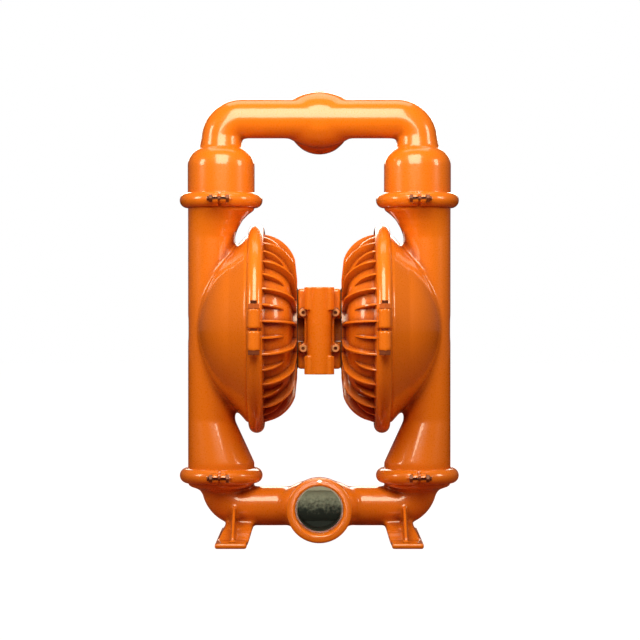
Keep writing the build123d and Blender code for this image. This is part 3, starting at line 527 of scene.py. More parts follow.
inlet_enamel = with_bare_bore("inlet_enamel", inlet_z, -1)
discharge_enamel = with_bare_bore("discharge_enamel", discharge_z, 1)
screw_paint = material(
    "painted_screw", linear(244, 178, 120), linear(160, 80, 36), 0.3, coat=0.3, bump=0.15, drift=0.5,
)
steel = material(
    "plated_steel", linear(196, 186, 160), linear(110, 98, 80), 0.3, metallic=0.9, bump=0.1, drift=0.5,
)
# Steel with orange overspray, darkened as painted shade for the shaded slots round the small clamp bolts.
overspray_and_painted_shade = material(
    "oversprayed_steel_and_painted_shade", linear(158, 78, 36), linear(62, 32, 20), 0.42, metallic=0.25, coat=0.1, bump=0.2,
    drift=0.9,
)
painted_nut = material(
    "painted_nut", linear(222, 112, 40), linear(120, 48, 24), 0.34, coat=0.4, bump=0.2, drift=0.6,
)
bare_iron = material(
    "machined_iron", linear(96, 98, 88), linear(38, 42, 38), 0.42, metallic=0.75, bump=0.4,
    wave_scale=120, grain_scale=900, grain_share=0.5, drift=0.7,
)
ground_steel = material(
    "ground_steel", linear(200, 202, 206), linear(150, 152, 156), 0.12, metallic=1.0, bump=0.03,
)
rubber = material(
    "elastomer", linear(34, 34, 35), linear(20, 20, 21), 0.6, bump=0.3, grain_share=0.7,
)
gasket_sheet = material(
    "gasket_sheet", linear(70, 66, 60), linear(42, 40, 36), 0.8, bump=0.4, grain_share=0.8, grain_scale=1500,
)
bronze = material(
    "bronze", linear(190, 145, 78), linear(120, 84, 40), 0.3, metallic=1.0, bump=0.1,
)
alloy = material(
    "anodised_alloy", linear(168, 168, 172), linear(120, 120, 124), 0.35, metallic=1.0, bump=0.1,
)
finishes = {
    "orange_enamel": enamel, "painted_screw": screw_paint, "plated_steel": steel,
    "machined_iron": bare_iron, "ground_steel": ground_steel, "elastomer": rubber,
    "gasket_sheet": gasket_sheet, "bronze": bronze, "anodised_alloy": alloy,
}

for part in record["subparts"]:
    slots = frame["nodes"][part["node"]].data.materials
    slots.clear()
    slots.append(finishes[part["material_slot"]])


# Liquid chambers
def waist_centre(radius):
    """The tube keeps its outer side straight while its radius shrinks."""
    return tube_x + tube_r - radius


def tube_shape(extra=0.0):
    """The upright liquid tube, narrowed beside the dome."""
    rings = [(lower_joint_z, tube_r), (low_taper_z, tube_r), (waist_low_z, waist_r)]
    rings += [(z * mm, r * mm) for z, r in high_taper] + [(upper_joint_z, tube_r)]
    bm = bmesh.new()
    loops = []
    for z, radius in rings:
        place = Matrix.Translation((waist_centre(radius), 0, z))
        ring = bmesh.ops.create_circle(bm, segments=96, radius=radius + extra, matrix=place)["verts"]
        loops.append([edge for edge in bm.edges if all(v in ring for v in edge.verts)])
    for low, high in zip(loops, loops[1:]):
        bmesh.ops.bridge_loops(bm, edges=low + high)
    return mesh_of(bm)


dome_crown_r = 182 * mm
dome_shoulder_r = 137.5 * mm
dome_centre_x = dome_apex_x - dome_crown_r


def dome_outline(count=28):
    """The dome from its rim to its crown as (along, radius) points from the centre plane."""
    shoulder = math.asin(dome_shoulder_r / dome_crown_r)
    arc = [shoulder * (1 - index / count) for index in range(count + 1)]
    crown = [(dome_centre_x + dome_crown_r * math.cos(a), dome_crown_r * math.sin(a)) for a in arc]
    return [(split_x, 0), (split_x, rim_r), (split_x + rim_width, rim_r)] + crown


def lip_outline(direction, radius, edge_r):
    """A clamped lip with a tapered back, as (along, radius) points from the joint."""
    back = lip_edge + (edge_r - radius) * lip_slope
    return [(0, 0), (0, edge_r), (direction * lip_edge, edge_r), (direction * back, radius),
            (direction * back, 0)]


def near_dome_seam(co):
    """True close to the seam where the tube runs into the dome."""
    seam_half_width = 31 * mm
    reach = 17 * mm
    high_taper_slope = 0.25
    shoulder_lean = 0.75
    if not low_taper_z < co.z < upper_joint_z - 20 * mm or abs(co.y) > seam_half_width:
        return False
    radius = waist_r
    if co.z > waist_high_z:
        radius = waist_r + (co.z - waist_high_z) * high_taper_slope
    if co.z < waist_low_z:
        radius = waist_r + (waist_low_z - co.z) * (tube_r - waist_r) / (waist_low_z - low_taper_z)
    to_tube = abs(math.hypot(abs(co.x) - waist_centre(radius), co.y) - radius)
    ray = math.hypot(co.y, co.z - shaft_z)
    shell = math.hypot(abs(co.x) - dome_centre_x, ray) - dome_crown_r
    if ray > dome_shoulder_r:
        rim_x = split_x + rim_width
        shoulder_x = dome_centre_x + math.sqrt(dome_crown_r ** 2 - dome_shoulder_r ** 2)
        share = (ray - dome_shoulder_r) / (rim_r - dome_shoulder_r)
        shell = (abs(co.x) - (shoulder_x + (rim_x - shoulder_x) * share)) * shoulder_lean
    return to_tube < reach and abs(shell) < reach


def liquid_chamber():
    """The right liquid chamber: tube, dome and lips in one casting."""
    shaft_line = Vector((0, 0, shaft_z))
    parts = [
        tube_shape(),
        turned(dome_outline(), shaft_line, X, 192),
        turned(lip_outline(1, rim_r, rim_lip_r), Vector((split_x, 0, shaft_z)), X, 192),
        turned(lip_outline(1, tube_r, small_lip_r), Vector((tube_x, 0, lower_joint_z))),
        turned(lip_outline(-1, tube_r, small_lip_r), Vector((tube_x, 0, upper_joint_z))),
    ]
    skin = fused(parts, 2.4 * mm)
    return softened(skin, 4, where=near_dome_seam, more=45)


# Air chambers
air_hub_r = 76 * mm
air_hub_bore_r = 21 * mm
bowl_r = 155 * mm
bowl_mouth_r = 150 * mm
rib_count = 36
rib_thickness = 7.4 * mm
rib_edge = 0.9 * mm
rib_crest_share = 0.55


def arc_through(first, second, third, count):
    """Points along the arc through three points."""
    (ax, ay), (bx, by), (cx, cy) = first, second, third
    d = 2 * (ax * (by - cy) + bx * (cy - ay) + cx * (ay - by))
    ux = ((ax**2 + ay**2) * (by - cy) + (bx**2 + by**2) * (cy - ay) + (cx**2 + cy**2) * (ay - by)) / d
    uy = ((ax**2 + ay**2) * (cx - bx) + (bx**2 + by**2) * (ax - cx) + (cx**2 + cy**2) * (bx - ax)) / d
    start = math.atan2(ay - uy, ax - ux)
    middle_turn = (math.atan2(by - uy, bx - ux) - start) % tau
    turn = (math.atan2(cy - uy, cx - ux) - start) % tau
    if middle_turn > turn:
        turn -= tau
    radius = math.hypot(ax - ux, ay - uy)
    steps = [start + turn * index / count for index in range(count + 1)]
    return [(ux + radius * math.cos(a), uy + radius * math.sin(a)) for a in steps]


def air_chamber():
    """The right air chamber: bowl, hub, clamped lip and its ring of ribs."""
    shaft_line = Vector((0, 0, shaft_z))
    rim_end = split_x - 13.5 * mm
    flank = (air_face_x + 28 * mm, 139.2 * mm)
    corner = (air_face_x + 12 * mm, 111.6 * mm)
    hub = (air_face_x + 6.5 * mm, air_hub_r)
    back = arc_through((rim_end - 4 * mm, bowl_r), flank, corner, 20)
    hub_back = air_face_x + 10.2 * mm
    inner = [
        hub, (air_face_x, air_hub_r), (air_face_x, air_hub_bore_r), (hub_back, air_hub_bore_r),
        (hub_back, 68.5 * mm), (corner[0] + 7.4 * mm, corner[1] - 1.1 * mm),
        (flank[0] + 4 * mm, flank[1] - 6.2 * mm), (rim_end, bowl_mouth_r), (split_x, bowl_mouth_r),
    ]
    outline = [(split_x, rim_r), (rim_end, rim_r)] + back + inner
    bowl = add_object("bowl", turned(outline, shaft_line, X, 192, closed=True))
    lip = [(along, radius or bowl_mouth_r + 2 * mm) for along, radius in lip_outline(-1, rim_r, rim_lip_r)]
    combined(bowl, [turned(lip, Vector((split_x, 0, shaft_z)), X, 192, closed=True)], "UNION")
    sink = 4 * mm
    root = [(flank[0] + sink, flank[1] - sink), (rim_end, bowl_r - sink)]
    long_crest = arc_through((rim_end, rim_r), (61 * mm, 152 * mm), (43.8 * mm, 124.4 * mm), 16)
    long_crest.append((air_face_x + 0.3 * mm, 90 * mm))
    long_root = [
        (air_face_x + 0.3 * mm, air_hub_r - sink), (hub[0] + sink, air_hub_r - sink),
        (corner[0] + sink, corner[1] - sink),
    ] + root
    short_crest = arc_through((rim_end, rim_r), (78.4 * mm, 159.5 * mm), (60.8 * mm, 128.1 * mm), 12)
    about = Matrix.Translation(shaft_line)
    ribs = []
    for index in range(rib_count):
        crest, foot = ((long_crest, long_root), (short_crest, root))[index % 2]
        rib = plate(crest + foot, rib_thickness, (X, Z), shaft_line, len(crest), rib_crest_share, rib_edge)
        turn = Matrix.Rotation(tau * (index + 0.5) / rib_count, 4, X)
        ribs.append(copied(rib, about @ turn @ about.inverted()))
    return combined(bowl, ribs, "UNION")


# Clamps
def clamp_half(radius, edge_r, crown_r, width, ear, bolt, voxel, slot=0.0):
    """One half of a clamp band about the upright axis through the origin, on the +X side."""
    ear_length, ear_width, ear_reach = ear
    bolt_r, bolt_offset = bolt
    gap = 0.2 * mm
    inner_r = radius + 1.5 * mm
    half = width / 2
    side = lip_edge + gap
    inner_side = side + (edge_r + gap - inner_r) * lip_slope
    shoulder_r = crown_r - half * 0.8
    outline = [(-side, edge_r + gap), (side, edge_r + gap), (inner_side, inner_r), (half, inner_r)]
    outline += arc_through((half, shoulder_r), (0, crown_r), (-half, shoulder_r), 16)
    outline += [(-half, inner_r), (-inner_side, inner_r)]
    split = 2 * mm
    start = math.asin(split / crown_r)
    parts = [turned(outline, Vector(), Z, 96, start - tau / 4, math.pi - 2 * start, closed=True)]
    bolt_y = crown_r + bolt_offset
    root_y = edge_r + 1 * mm
    tip_r = min(ear_width / 2, ear_reach - bolt_offset)
    rib_half = ear_width * 0.12
    for y_sign in (1, -1):
        root, bolt_end, crown = y_sign * root_y, y_sign * bolt_y, y_sign * crown_r
        parts.append(block(
            (split, min(root, bolt_end), -ear_width / 2), (ear_length, max(root, bolt_end), ear_width / 2)
        ))
        parts.append(bar(tip_r, Vector((split, bolt_end, 0)), Vector((ear_length, bolt_end, 0))))
        parts.append(block(
            (ear_length - 1 * mm, min(root, crown), -rib_half),
            (ear_length + 10 * mm, max(root, crown), rib_half),
        ))
    skin = softened(fused(parts, voxel), 3)
    for y_sign in (1, -1):
        y = y_sign * bolt_y
        cut(skin, [bar(bolt_r + gap, Vector((0, y, 0)), Vector((2 * ear_length, y, 0)), 32)])
        if slot:
            low_y, high_y = sorted((y, y_sign * (bolt_y + 2 * ear_reach)))
            cut(skin, [block((-split, low_y, -slot / 2), (2 * ear_length, high_y, slot / 2))])
    return skin


def hex_body(across, height, chamfer_r, start, axis):
    """A chamfered hexagonal head or nut from a start point along an axis."""
    side = side_of(axis)
    other = axis.cross(side)
    corner = across / math.sqrt(3)
    turns = [tau * index / 6 for index in range(6)]
    ring = [start + (side * math.cos(a) + other * math.sin(a)) * corner for a in turns]
    drop = (corner - chamfer_r) * 0.6
    cone = turned(
        [(0, 0), (0, corner * 1.1), (height - drop, corner * 1.02), (height, chamfer_r), (height, 0)],
        start, axis, 48,
    )
    return mesh_taken(combined(add_object("hex", prism(ring, axis * height)), [cone], "INTERSECT"))


def threaded_bar(radius, pitch, start, axis, length, plain):
    """A bolt shank: plain at first, then ridged like a thread up to a chamfered tip."""
    outline = [(0, 0), (0, radius), (plain, radius)]
    count = int((length - plain - pitch) / pitch)
    for index in range(count):
        at = plain + index * pitch
        outline += [
            (at + pitch * 0.25, radius), (at + pitch * 0.6, radius - pitch * 0.5), (at + pitch * 0.95, radius)
        ]
    outline += [(length - pitch * 0.7, radius), (length, radius - pitch * 0.7), (length, 0)]
    return turned(outline, start, axis, 32)


def bolt_and_nut(grip, bolt_r, hex_size, head, y):
    """One clamp bolt with its nut, lying along X with the ears' faces at plus and minus the grip."""
    nut_height = hex_size * 0.47
    face_r = hex_size * 0.47
    washer_r = hex_size * 0.56
    washer_height = 0.6 * mm
    start = Vector((-grip, y, 0))
    plain = 2 * grip + nut_height
    shank = threaded_bar(bolt_r, 1.5 * mm, start, X, plain + bolt_r, plain)
    top = hex_body(hex_size, head, face_r, start, -X)
    washer = turned(
        [(0, bolt_r), (0, washer_r), (washer_height, washer_r), (washer_height, bolt_r)],
        Vector((grip, y, 0)), X, 40, closed=True,
    )
    nut = hex_body(hex_size, nut_height - washer_height, face_r, Vector((grip + washer_height, y, 0)), X)
    return joined([shank, top]), joined([washer, nut])


def clamp_set(half, pairs, places, nodes, nut_finish):
    """Clamps, bolts and nuts at all places, each with the names of its two halves."""
    bolts, nuts = [], []
    for place, names in places:
        for name, turn in zip(names, (0, math.pi)):
            mesh = copied(half.data, place @ Matrix.Rotation(turn, 4, Z))
            obj = smooth_shaded(add_object(name, mesh), 50)
            finished(obj, name + "_band", enamel, "orange_enamel", "pump_body", name)
        for bolt, nut in pairs:
            bolts.append(copied(bolt, place))
            nuts.append(copied(nut, place))
    bpy.data.objects.remove(half)
    for meshes, node, finish in zip((bolts, nuts), nodes, (overspray_and_painted_shade, nut_finish)):
        obj = smooth_shaded(add_object(node, joined(meshes)), 35)
        finished(obj, node + "_set", finish, "plated_steel", "pump_body", node)


# Ears as length, width and reach, and bolts as radius and distance from the clamp's crown
large_ear = (36 * mm, 23 * mm, 20 * mm)
large_bolt = (6 * mm, 9 * mm)
small_ear = (12 * mm, 18 * mm, 19 * mm)
small_bolt = (4 * mm, 9 * mm)


def large_clamps():
    """The two large clamps, whose +X half is turned up and whose other half is turned down."""
    half = clamp_half(rim_r, rim_lip_r, large_clamp_r, 28 * mm, large_ear, large_bolt, 1.8 * mm)
    bolt_y = large_clamp_r + large_bolt[1]
    pairs = [bolt_and_nut(large_ear[0], large_bolt[0], 19 * mm, 7.5 * mm, y) for y in (bolt_y, -bolt_y)]
    places = []
    for side, x_sign in sides:
        place = Matrix.Translation((x_sign * split_x, 0, shaft_z)) @ Matrix.Rotation(-tau / 4, 4, Y)
        places.append((place, [f"{side}_{level}_large_clamp" for level in ("upper", "lower")]))
    clamp_set(half, pairs, places, ("large_clamp_bolts", "large_clamp_nuts"), painted_nut)


def small_clamps():
    """The four small clamps, whose ears have a slot."""
    half = clamp_half(tube_r, small_lip_r, small_clamp_r, 27 * mm, small_ear, small_bolt, 1.3 * mm, 5 * mm)
    bolt_y = small_clamp_r + small_bolt[1]
    pairs = [bolt_and_nut(small_ear[0], small_bolt[0], 13 * mm, 5.3 * mm, y) for y in (bolt_y, -bolt_y)]
    places = []
    for side, x_sign in sides:
        outwards = Matrix.Rotation(0 if x_sign > 0 else math.pi, 4, Z)
        for level, joint_z in (("inlet", lower_joint_z), ("discharge", upper_joint_z)):
            place = Matrix.Translation((x_sign * tube_x, 0, joint_z)) @ outwards
            places.append((place, [f"{side}_{level}_clamp_{which}_half" for which in ("outer", "inner")]))
    # The small clamps' bolts and nuts take this darkened overspray, partly painted shade in their slots.
    clamp_set(half, pairs, places, ("small_clamp_bolts", "small_clamp_nuts"), overspray_and_painted_shade)


# Manifolds
def pipe_body(axis_z, towards, radius, tail, steps=64):
    """The round pipe with its two elbows, drawn as one run of rings."""
    bend = 24
    turn_x = tube_x - elbow_r
    turn_z = axis_z + towards * elbow_r
    bm = bmesh.new()
    place = Matrix.Translation((-tube_x, 0, turn_z + towards * tail))
    ring = bmesh.ops.create_circle(bm, segments=steps, radius=radius, matrix=place)["verts"]
    loop = list(ring) + list(bm.edges)

    def moved(geometry, vector):
        edges = only(geometry, bmesh.types.BMEdge)
        fresh = bmesh.ops.extrude_edge_only(bm, edges=edges)["geom"]
        verts = only(fresh, bmesh.types.BMVert)
        bmesh.ops.translate(bm, vec=vector, verts=verts)
        ring_edges = only(fresh, bmesh.types.BMEdge)
        return verts + [edge for edge in ring_edges if all(vert in verts for vert in edge.verts)]

    loop = moved(loop, Vector((0, 0, -towards * tail)))
    swing = -towards * tau / 4
    for centre_x in (-turn_x, turn_x):
        loop = bmesh.ops.spin(
            bm, geom=loop, cent=Vector((centre_x, 0, turn_z)), axis=Y, angle=swing, steps=bend
        )["geom_last"]
        if centre_x < 0:
            loop = moved(loop, Vector((2 * turn_x, 0, 0)))
    moved(loop, Vector((0, 0, towards * tail)))
    return mesh_of(bm)


def port_shape(z, direction):
    """The round port boss with its stepped collar."""
    back = arc_through((-6 * mm, 44 * mm), (-4.2 * mm, 48.2 * mm), (0, port_body_r), 8)
    collar = [
        (62 * mm, port_body_r), (68 * mm, 54 * mm), (70 * mm, 56.2 * mm), (72 * mm, port_r),
        (98 * mm, port_r), (99.4 * mm, 57.4 * mm), (port_reach, 56 * mm), (port_reach, 0),
    ]
    return turned([(-6 * mm, 0)] + back + collar, Vector((0, 0, z)), Y * direction, 128)


def swelling(z, direction):
    """The lens shaped swelling where the port boss meets the pipe."""
    half, crown_r, end_r = 72.4 * mm, 51 * mm, 20 * mm
    arc = arc_through((-half, end_r), (0, crown_r), (half, end_r), 32)
    centre = Vector((0, direction * (crown_r - pipe_r), z))
    return turned([(-half, 0)] + arc + [(half, 0)], centre, X, 96)


def near_port_seam(z):
    """A test for the seam between a manifold's pipe and its port boss."""
    def test(co):
        to_pipe = math.hypot(co.y, co.z - z) - pipe_r
        to_boss = math.hypot(co.x, co.z - z) - port_body_r
        return abs(to_pipe) < 18 * mm and abs(to_boss) < 24 * mm and abs(co.y) < 60 * mm
    return test


def port_tools(z, direction):
    """The bore behind a port with its threaded mouth, and the passage across it."""
    pitch = 3.2 * mm
    step = port_reach - port_thread_depth
    mouth_r = port_thread_r + 4.0 * mm
    bore = [(0, 0), (0, port_bore_r), (step, port_bore_r), (step, port_thread_r)]
    for index in range(11):
        bore += [
            (step + pitch * (index + share), port_thread_r + deep)
            for share, deep in ((0.1, 0), (0.5, 1.2 * mm), (0.9, 0))
        ]
    bore += [(port_reach - 2.5 * mm, port_thread_r + 1.0 * mm), (port_reach + 1 * mm, mouth_r)]
    bore.append((port_reach + 1 * mm, 0))
    end_x, bend_x, straight_x = 90 * mm, 80 * mm, 62 * mm
    end_r, bend_r = 10 * mm, 24 * mm
    passage = [(-end_x, 0)] + arc_through((-end_x, end_r), (-bend_x, bend_r), (-straight_x, passage_r), 8)
    passage += arc_through((straight_x, passage_r), (bend_x, bend_r), (end_x, end_r), 8) + [(end_x, 0)]
    centre = Vector((0, 0, z))
    return [turned(bore, centre, Y * direction, 128), turned(passage, centre, X, 96)]


def foot_shape(x_sign):
    """A cast foot: rounded plate, flared leg and gusset."""
    plate_x, plate_half, plate_top = 155 * mm, 28 * mm, 9.5 * mm
    leg_x, leg_top = 140 * mm, 40 * mm
    leg_width, leg_depth, leg_spread = 50 * mm, 32 * mm, 210 * mm
    parts = [block(
        (plate_x - plate_half, -foot_half_length, 0),
        (plate_x + plate_half, foot_half_length, plate_top), 2 * mm,
    )]
    bm = bmesh.new()
    bmesh.ops.create_cube(bm, size=1)
    for vert in bm.verts:
        if vert.co.z > 0:
            vert.co = Vector((leg_x + vert.co.x * leg_width, vert.co.y * leg_depth, leg_top))
        else:
            vert.co = Vector((plate_x + vert.co.x * 2 * plate_half, vert.co.y * leg_spread, 1 * mm))
    parts.append(mesh_of(bm))
    gusset = [(-113, 8), (-113, 17), (-17.7, 78), (17.7, 78), (113, 17), (113, 8)]
    parts.append(plate([(y * mm, z * mm) for y, z in gusset], 6 * mm, (Y, Z), Vector((153 * mm, 0, 0))))
    return parts if x_sign > 0 else [mirrored(part) for part in parts]


def bell_end(outline, x_sign, lip_z, lip_direction):
    """The bell at one end of a manifold, with its clamped lip."""
    centre = Vector((x_sign * tube_x, 0, 0))
    lip = lip_outline(lip_direction, tube_r, small_lip_r)
    return [turned(outline, centre), turned(lip, centre + Z * lip_z)]


def inlet_manifold():
    """The lower manifold with its feet and the open front port."""
    bell = [
        (lower_joint_z, 0), (lower_joint_z, tube_r), (104 * mm, tube_r), (101 * mm, 59 * mm),
        (98 * mm, 55 * mm), (94 * mm, 43 * mm), (90 * mm, 37 * mm), (86 * mm, pipe_r), (86 * mm, 0),
    ]
    parts = [pipe_body(inlet_z, 1, pipe_r, 2 * mm), port_shape(inlet_z, -1), swelling(inlet_z, -1)]
    for x_sign in (1, -1):
        parts += bell_end(bell, x_sign, lower_joint_z, -1) + foot_shape(x_sign)
    port_seam = near_port_seam(inlet_z)

    def near_seams(co):
        beside_leg = abs(co.x) > 108 * mm and 14 * mm < abs(co.y) < 50 * mm
        return port_seam(co) or (24 * mm < co.z < 48 * mm and beside_leg)

    skin = softened(fused(parts, 2.2 * mm), 4, where=near_seams, more=30)
    tools = port_tools(inlet_z, -1)
    for x in (foot_hole_x, -foot_hole_x):
        for y in (foot_hole_y, -foot_hole_y):
            tools.append(bar(7 * mm, Vector((x, y, -5 * mm)), Vector((x, y, 30 * mm)), 40))
    for tool in tools:
        cut(skin, [tool])
    return skin


def discharge_manifold():
    """The upper manifold with its ball housings and the open rear port."""
    bell_top, neck_r, bell_r = 680 * mm, 38.5 * mm, 60.5 * mm
    shoulder = arc_through(
        (bell_top, bell_r), (bell_top + 19 * mm, bell_r - 7 * mm), (neck_z, neck_r), 14
    )
    bell = [(upper_joint_z, 0), (upper_joint_z, bell_r)] + shoulder
    bell += [(neck_z + 11 * mm, neck_r), (neck_z + 13 * mm, neck_r - 1 * mm), (neck_z + 13 * mm, 0)]
    tail = discharge_z - elbow_r - neck_z
    parts = [pipe_body(discharge_z, -1, pipe_r, tail), port_shape(discharge_z, 1), swelling(discharge_z, 1)]
    for x_sign in (1, -1):
        parts += bell_end(bell, x_sign, upper_joint_z, 1)
    port_seam = near_port_seam(discharge_z)

    def near_seams(co):
        return port_seam(co) or neck_z + 5 * mm < co.z < neck_z + 20 * mm

    skin = softened(fused(parts, 2.2 * mm), 4, where=near_seams, more=30)
    for tool in port_tools(discharge_z, 1):
        cut(skin, [tool])
    return skin


# Centre block and air valve
def center_block():
    """The block between the air chambers, with pockets and the rear air ports."""
    half_height = 72 * mm
    pocket_z, pocket_half = 381 * mm, 22 * mm
    boss_y = -block_front_y + 12 * mm
    low = Vector((-block_half_x, block_front_y, shaft_z - half_height))
    high = Vector((block_half_x, -block_front_y, shaft_z + half_height))
    parts = [block(low, high, 5 * mm)]
    ports = ((35 * mm, 13.1 * mm, 20 * mm), (-35 * mm, 16.4 * mm, 22 * mm))
    for above, radius, _ in ports:
        start = Vector((0, 0, shaft_z + above))
        parts.append(bar(radius + 7 * mm, start, start + Y * boss_y))
    skin = softened(fused(parts, 1.5 * mm), 3)
    tools = []
    for above, radius, depth in ports:
        face = Vector((0, boss_y, shaft_z + above))
        tools.append(bar(radius, face - Y * depth, face + Y * mm))
    for x_sign in (1, -1):
        low_x, high_x = sorted((x_sign * valve_half_x, x_sign * (block_half_x + 5 * mm)))
        tools.append(block(
            (low_x, block_front_y - 10 * mm, pocket_z - pocket_half),
            (high_x, block_front_y + 20 * mm, pocket_z + pocket_half), 3 * mm,
        ))
    return cut(skin, tools)


def valve_screw_places():
    """Where the heads of the four screws sit on the air valve's flange."""
    return [
        Vector((x * valve_screw_x, valve_high.y - valve_flange, valve_middle_z + z * valve_screw_z))
        for x in (1, -1) for z in (1, -1)
    ]


def air_valve():
    """The air valve body: round barrel, squared ends and flange ears."""
    barrel_r, flange_half, ear_half, ear_r = 22 * mm, 42 * mm, 9.5 * mm, 8.3 * mm
    back_y = valve_high.y
    axis_y = back_y - 26 * mm
    flange_y = back_y - valve_flange
    half = (valve_high.z - valve_low.z) / 2
    low_z, high_z = valve_middle_z - half, valve_middle_z + half
    parts = [
        bar(barrel_r, Vector((0, axis_y, low_z)), Vector((0, axis_y, high_z)), 96),
        block((-barrel_r, axis_y, low_z), (barrel_r, back_y, high_z)),
        block((-valve_half_x, flange_y, valve_middle_z - flange_half),
              (valve_half_x, back_y, valve_middle_z + flange_half), 1 * mm),
    ]
    for ear_z in (valve_middle_z + valve_screw_z, valve_middle_z - valve_screw_z):
        low = (-valve_screw_x, flange_y, ear_z - ear_half)
        parts.append(block(low, (valve_screw_x, back_y, ear_z + ear_half)))
        for x in (valve_screw_x, -valve_screw_x):
            at = Vector((x, back_y, ear_z))
            parts.append(bar(ear_r, at, at - Y * valve_flange, 48))
    cheek = [(-26.5, 0), (-26.5, -37), (-20.5, -43), (20.5, -43), (26.5, -37), (26.5, 0)]
    for low, high in ((half - 41 * mm, half), (-half, -half + 33 * mm)):
        points = [(x * mm, back_y + y * mm, valve_middle_z + low) for x, y in cheek]
        parts.append(prism(points, Z * (high - low)))
    skin = softened(fused(parts, 1.1 * mm), 4)
    tools = [bar(7.05 * mm, at, at - Y * 40 * mm, 48) for at in valve_screw_places()]
    spool_low = Vector((0, axis_y, valve_middle_z - 2 * half))
    tools.append(bar(13 * mm, spool_low, Vector((0, axis_y, valve_middle_z + 2 * half))))
    for z_sign in (1, -1):
        seat = Vector((0, axis_y, valve_middle_z + z_sign * (half - 10.6 * mm)))
        tools.append(bar(18.05 * mm, seat, seat + Z * z_sign * 20 * mm))
    for tool in tools:
        cut(skin, [tool])
    return skin


def socket_screws():
    """The four socket head screws that hold the air valve."""
    shank_r, head_r, length = 4 * mm, 6.8 * mm, 29 * mm
    outline = [
        (-length, 0), (-length, shank_r), (0, shank_r), (0, head_r), (7.2 * mm, head_r), (8 * mm, 6.1 * mm),
        (8 * mm, 0),
    ]
    meshes = []
    for at in valve_screw_places():
        head = add_object("head", turned(outline, at, -Y, 48))
        cut(head, [hex_body(6 * mm, 6 * mm, 4 * mm, at - Y * 9 * mm, Y)])
        meshes.append(mesh_taken(head))
    return smooth_shaded(add_object("screws", joined(meshes)), 35)


# Diaphragms
def diaphragm(x_sign):
    """A moulded diaphragm turned about the shaft line, with its bead at the rim."""
    web = 2.5
    outline = [
        (122.5, 16.3), (122.5, 97), (113 - web, 151), (109.5, 152), (109, 153), (109, 164), (117, 164),
        (117, 153), (116.5, 152), (113 + web, 151), (127.5, 97), (127.5, 16.3),
    ]
    outline = [(along * mm, radius * mm) for along, radius in outline]
    mesh = turned(outline, Vector((0, 0, shaft_z)), X * x_sign, 128, closed=True)
    bm = bmesh.new()
    bm.from_mesh(mesh)
    long_edges = [edge for edge in bm.edges if edge.calc_length() > 20 * mm]
    bmesh.ops.subdivide_edges(bm, edges=long_edges, cuts=8, use_grid_fill=True)
    return smooth_shaded(add_object("diaphragm", mesh_of(bm)), 40)


# The object's pieces
def finished_pair(casting, kind, sharp_deg):
    """Finish a right casting and its mirror image on the left."""
    right = smooth_shaded(casting, sharp_deg)
    left = smooth_shaded(add_object("left", mirrored(right.data)), sharp_deg)
    for side, obj in (("right", right), ("left", left)):
        node = f"{side}_{kind}_chamber"
        finished(obj, f"{side}_{kind}_casting", enamel, "orange_enamel", "pump_body", node)


finished_pair(liquid_chamber(), "liquid", 60)
finished_pair(air_chamber(), "air", 28)
large_clamps()
small_clamps()
for casting, name, finish, node in (
    (inlet_manifold, "inlet_casting", inlet_enamel, "inlet_manifold"),
    (discharge_manifold, "discharge_casting", discharge_enamel, "discharge_manifold"),
    (center_block, "block_casting", enamel, "center_block"),
    (air_valve, "valve_casting", enamel, "air_valve_body"),
):
    finished(smooth_shaded(casting(), 50), name, finish, "orange_enamel", "pump_body", node)
finished(socket_screws(), "valve_screw_set", screw_paint, "painted_screw", "pump_body", "air_valve_screws")
for side, x_sign in sides:
    piece = finished(
        diaphragm(x_sign), side + "_moulded_diaphragm", rubber, "elastomer", None, side + "_diaphragm"
    )
    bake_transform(piece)

# Camera as in the photograph
def aimed(data, place, target):
    """A linked camera or lamp that looks at a point."""
    obj = bpy.data.objects.new(data.name, data)
    obj.location = place
    obj.rotation_euler = (Vector(target) - Vector(place)).to_track_quat("-Z", "Y").to_euler()
    bpy.context.scene.collection.objects.link(obj)
    return obj


pixel = 1.81 * mm
image_middle = 320
floor_row = 540.6
horizon_row = 305
centre_column = 319.3
distance = 4.0
camera_data = bpy.data.cameras.new("camera")
camera_data.sensor_width = 36
camera_data.lens = camera_data.sensor_width * distance / (2 * image_middle * pixel)
eye = Vector(((image_middle - centre_column) * pixel, -distance, (floor_row - horizon_row) * pixel))
aim = Vector((eye.x, 0, (floor_row - image_middle) * pixel))
bpy.context.scene.camera = aimed(camera_data, eye, aim)


# Studio
def lamp(name, place, target, size, watts, colour):
    """A soft rectangular lamp aimed at a point."""
    data = bpy.data.lights.new(name, "AREA")
    data.shape = "RECTANGLE"
    data.size, data.size_y = size
    data.energy = watts
    data.color = colour
    aimed(data, place, target)


def seen_apart(tree, unseen, seen):
    """One shader for all other rays and one for those that the camera sees."""
    ray = add_node(tree, "ShaderNodeLightPath").outputs["Is Camera Ray"]
    return add_node(tree, "ShaderNodeMixShader", {0: ray, 1: unseen, 2: seen}).outputs[0]


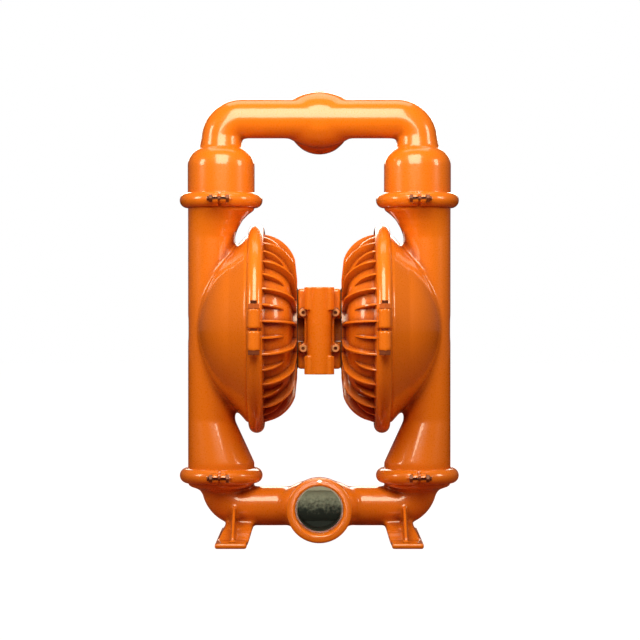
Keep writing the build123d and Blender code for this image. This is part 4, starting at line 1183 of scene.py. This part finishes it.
heart = (0, 0, 0.42)
lamp("bank", (-0.07, -0.975, 1.325), (-0.07, 0.0, 0.658), (0.85, 1.15), 23, (1, 0.93, 0.7))
lamp("left", (-2.2, -0.9, 1.3), heart, (0.6, 0.9), 16, (1, 0.88, 0.66))
lamp("right", (2.2, -0.9, 1.3), heart, (0.6, 0.9), 14, (1, 0.88, 0.66))
lamp("top", (0, 0.5, 2.3), heart, (1.6, 1.0), 9, (1, 0.93, 0.75))
lamp("behind", (0.0, 2.2, 1.4), heart, (1.8, 1.0), 30, (1, 0.9, 0.75))
beam = bpy.data.lights.new("bore_beam", "SPOT")
beam.energy = 160
beam.spot_size = math.radians(1.9)
beam.spot_blend = 0.25
beam.shadow_soft_size = 0.01
beam.color = (0.95, 1, 0.9)
aimed(beam, (0, -3, 0.2), (0, 0, inlet_z))

world = bpy.data.worlds.new("studio")
bpy.context.scene.world = world
world.use_nodes = True
tree = world.node_tree
tree.nodes.clear()
backdrop = add_node(tree, "ShaderNodeBackground", {"Color": (1, 1, 1, 1), "Strength": 1.0}).outputs[0]
ambient = add_node(tree, "ShaderNodeBackground", {"Color": (1, 0.52, 0.42, 1), "Strength": 0.12}).outputs[0]
add_node(tree, "ShaderNodeOutputWorld", {"Surface": seen_apart(tree, ambient, backdrop)})

bm = bmesh.new()
bmesh.ops.create_grid(bm, x_segments=1, y_segments=1, size=12)
floor_mesh = bpy.data.meshes.new("floor")
bm.to_mesh(floor_mesh)
bm.free()
floor = add_object("floor", floor_mesh)
paint = bpy.data.materials.new("floor_paint")
paint.use_nodes = True
tree = paint.node_tree
tree.nodes.clear()
card = add_node(tree, "ShaderNodeBsdfDiffuse", {"Color": (0.2, 0.06, 0.03, 1)}).outputs[0]
glow = add_node(tree, "ShaderNodeEmission", {"Color": (1, 1, 1, 1), "Strength": 1.0}).outputs[0]
bright = add_node(tree, "ShaderNodeAddShader", {0: card, 1: glow}).outputs[0]
add_node(tree, "ShaderNodeOutputMaterial", {"Surface": seen_apart(tree, card, bright)})
floor.data.materials.append(paint)

bpy.context.scene.view_settings.view_transform = "Standard"
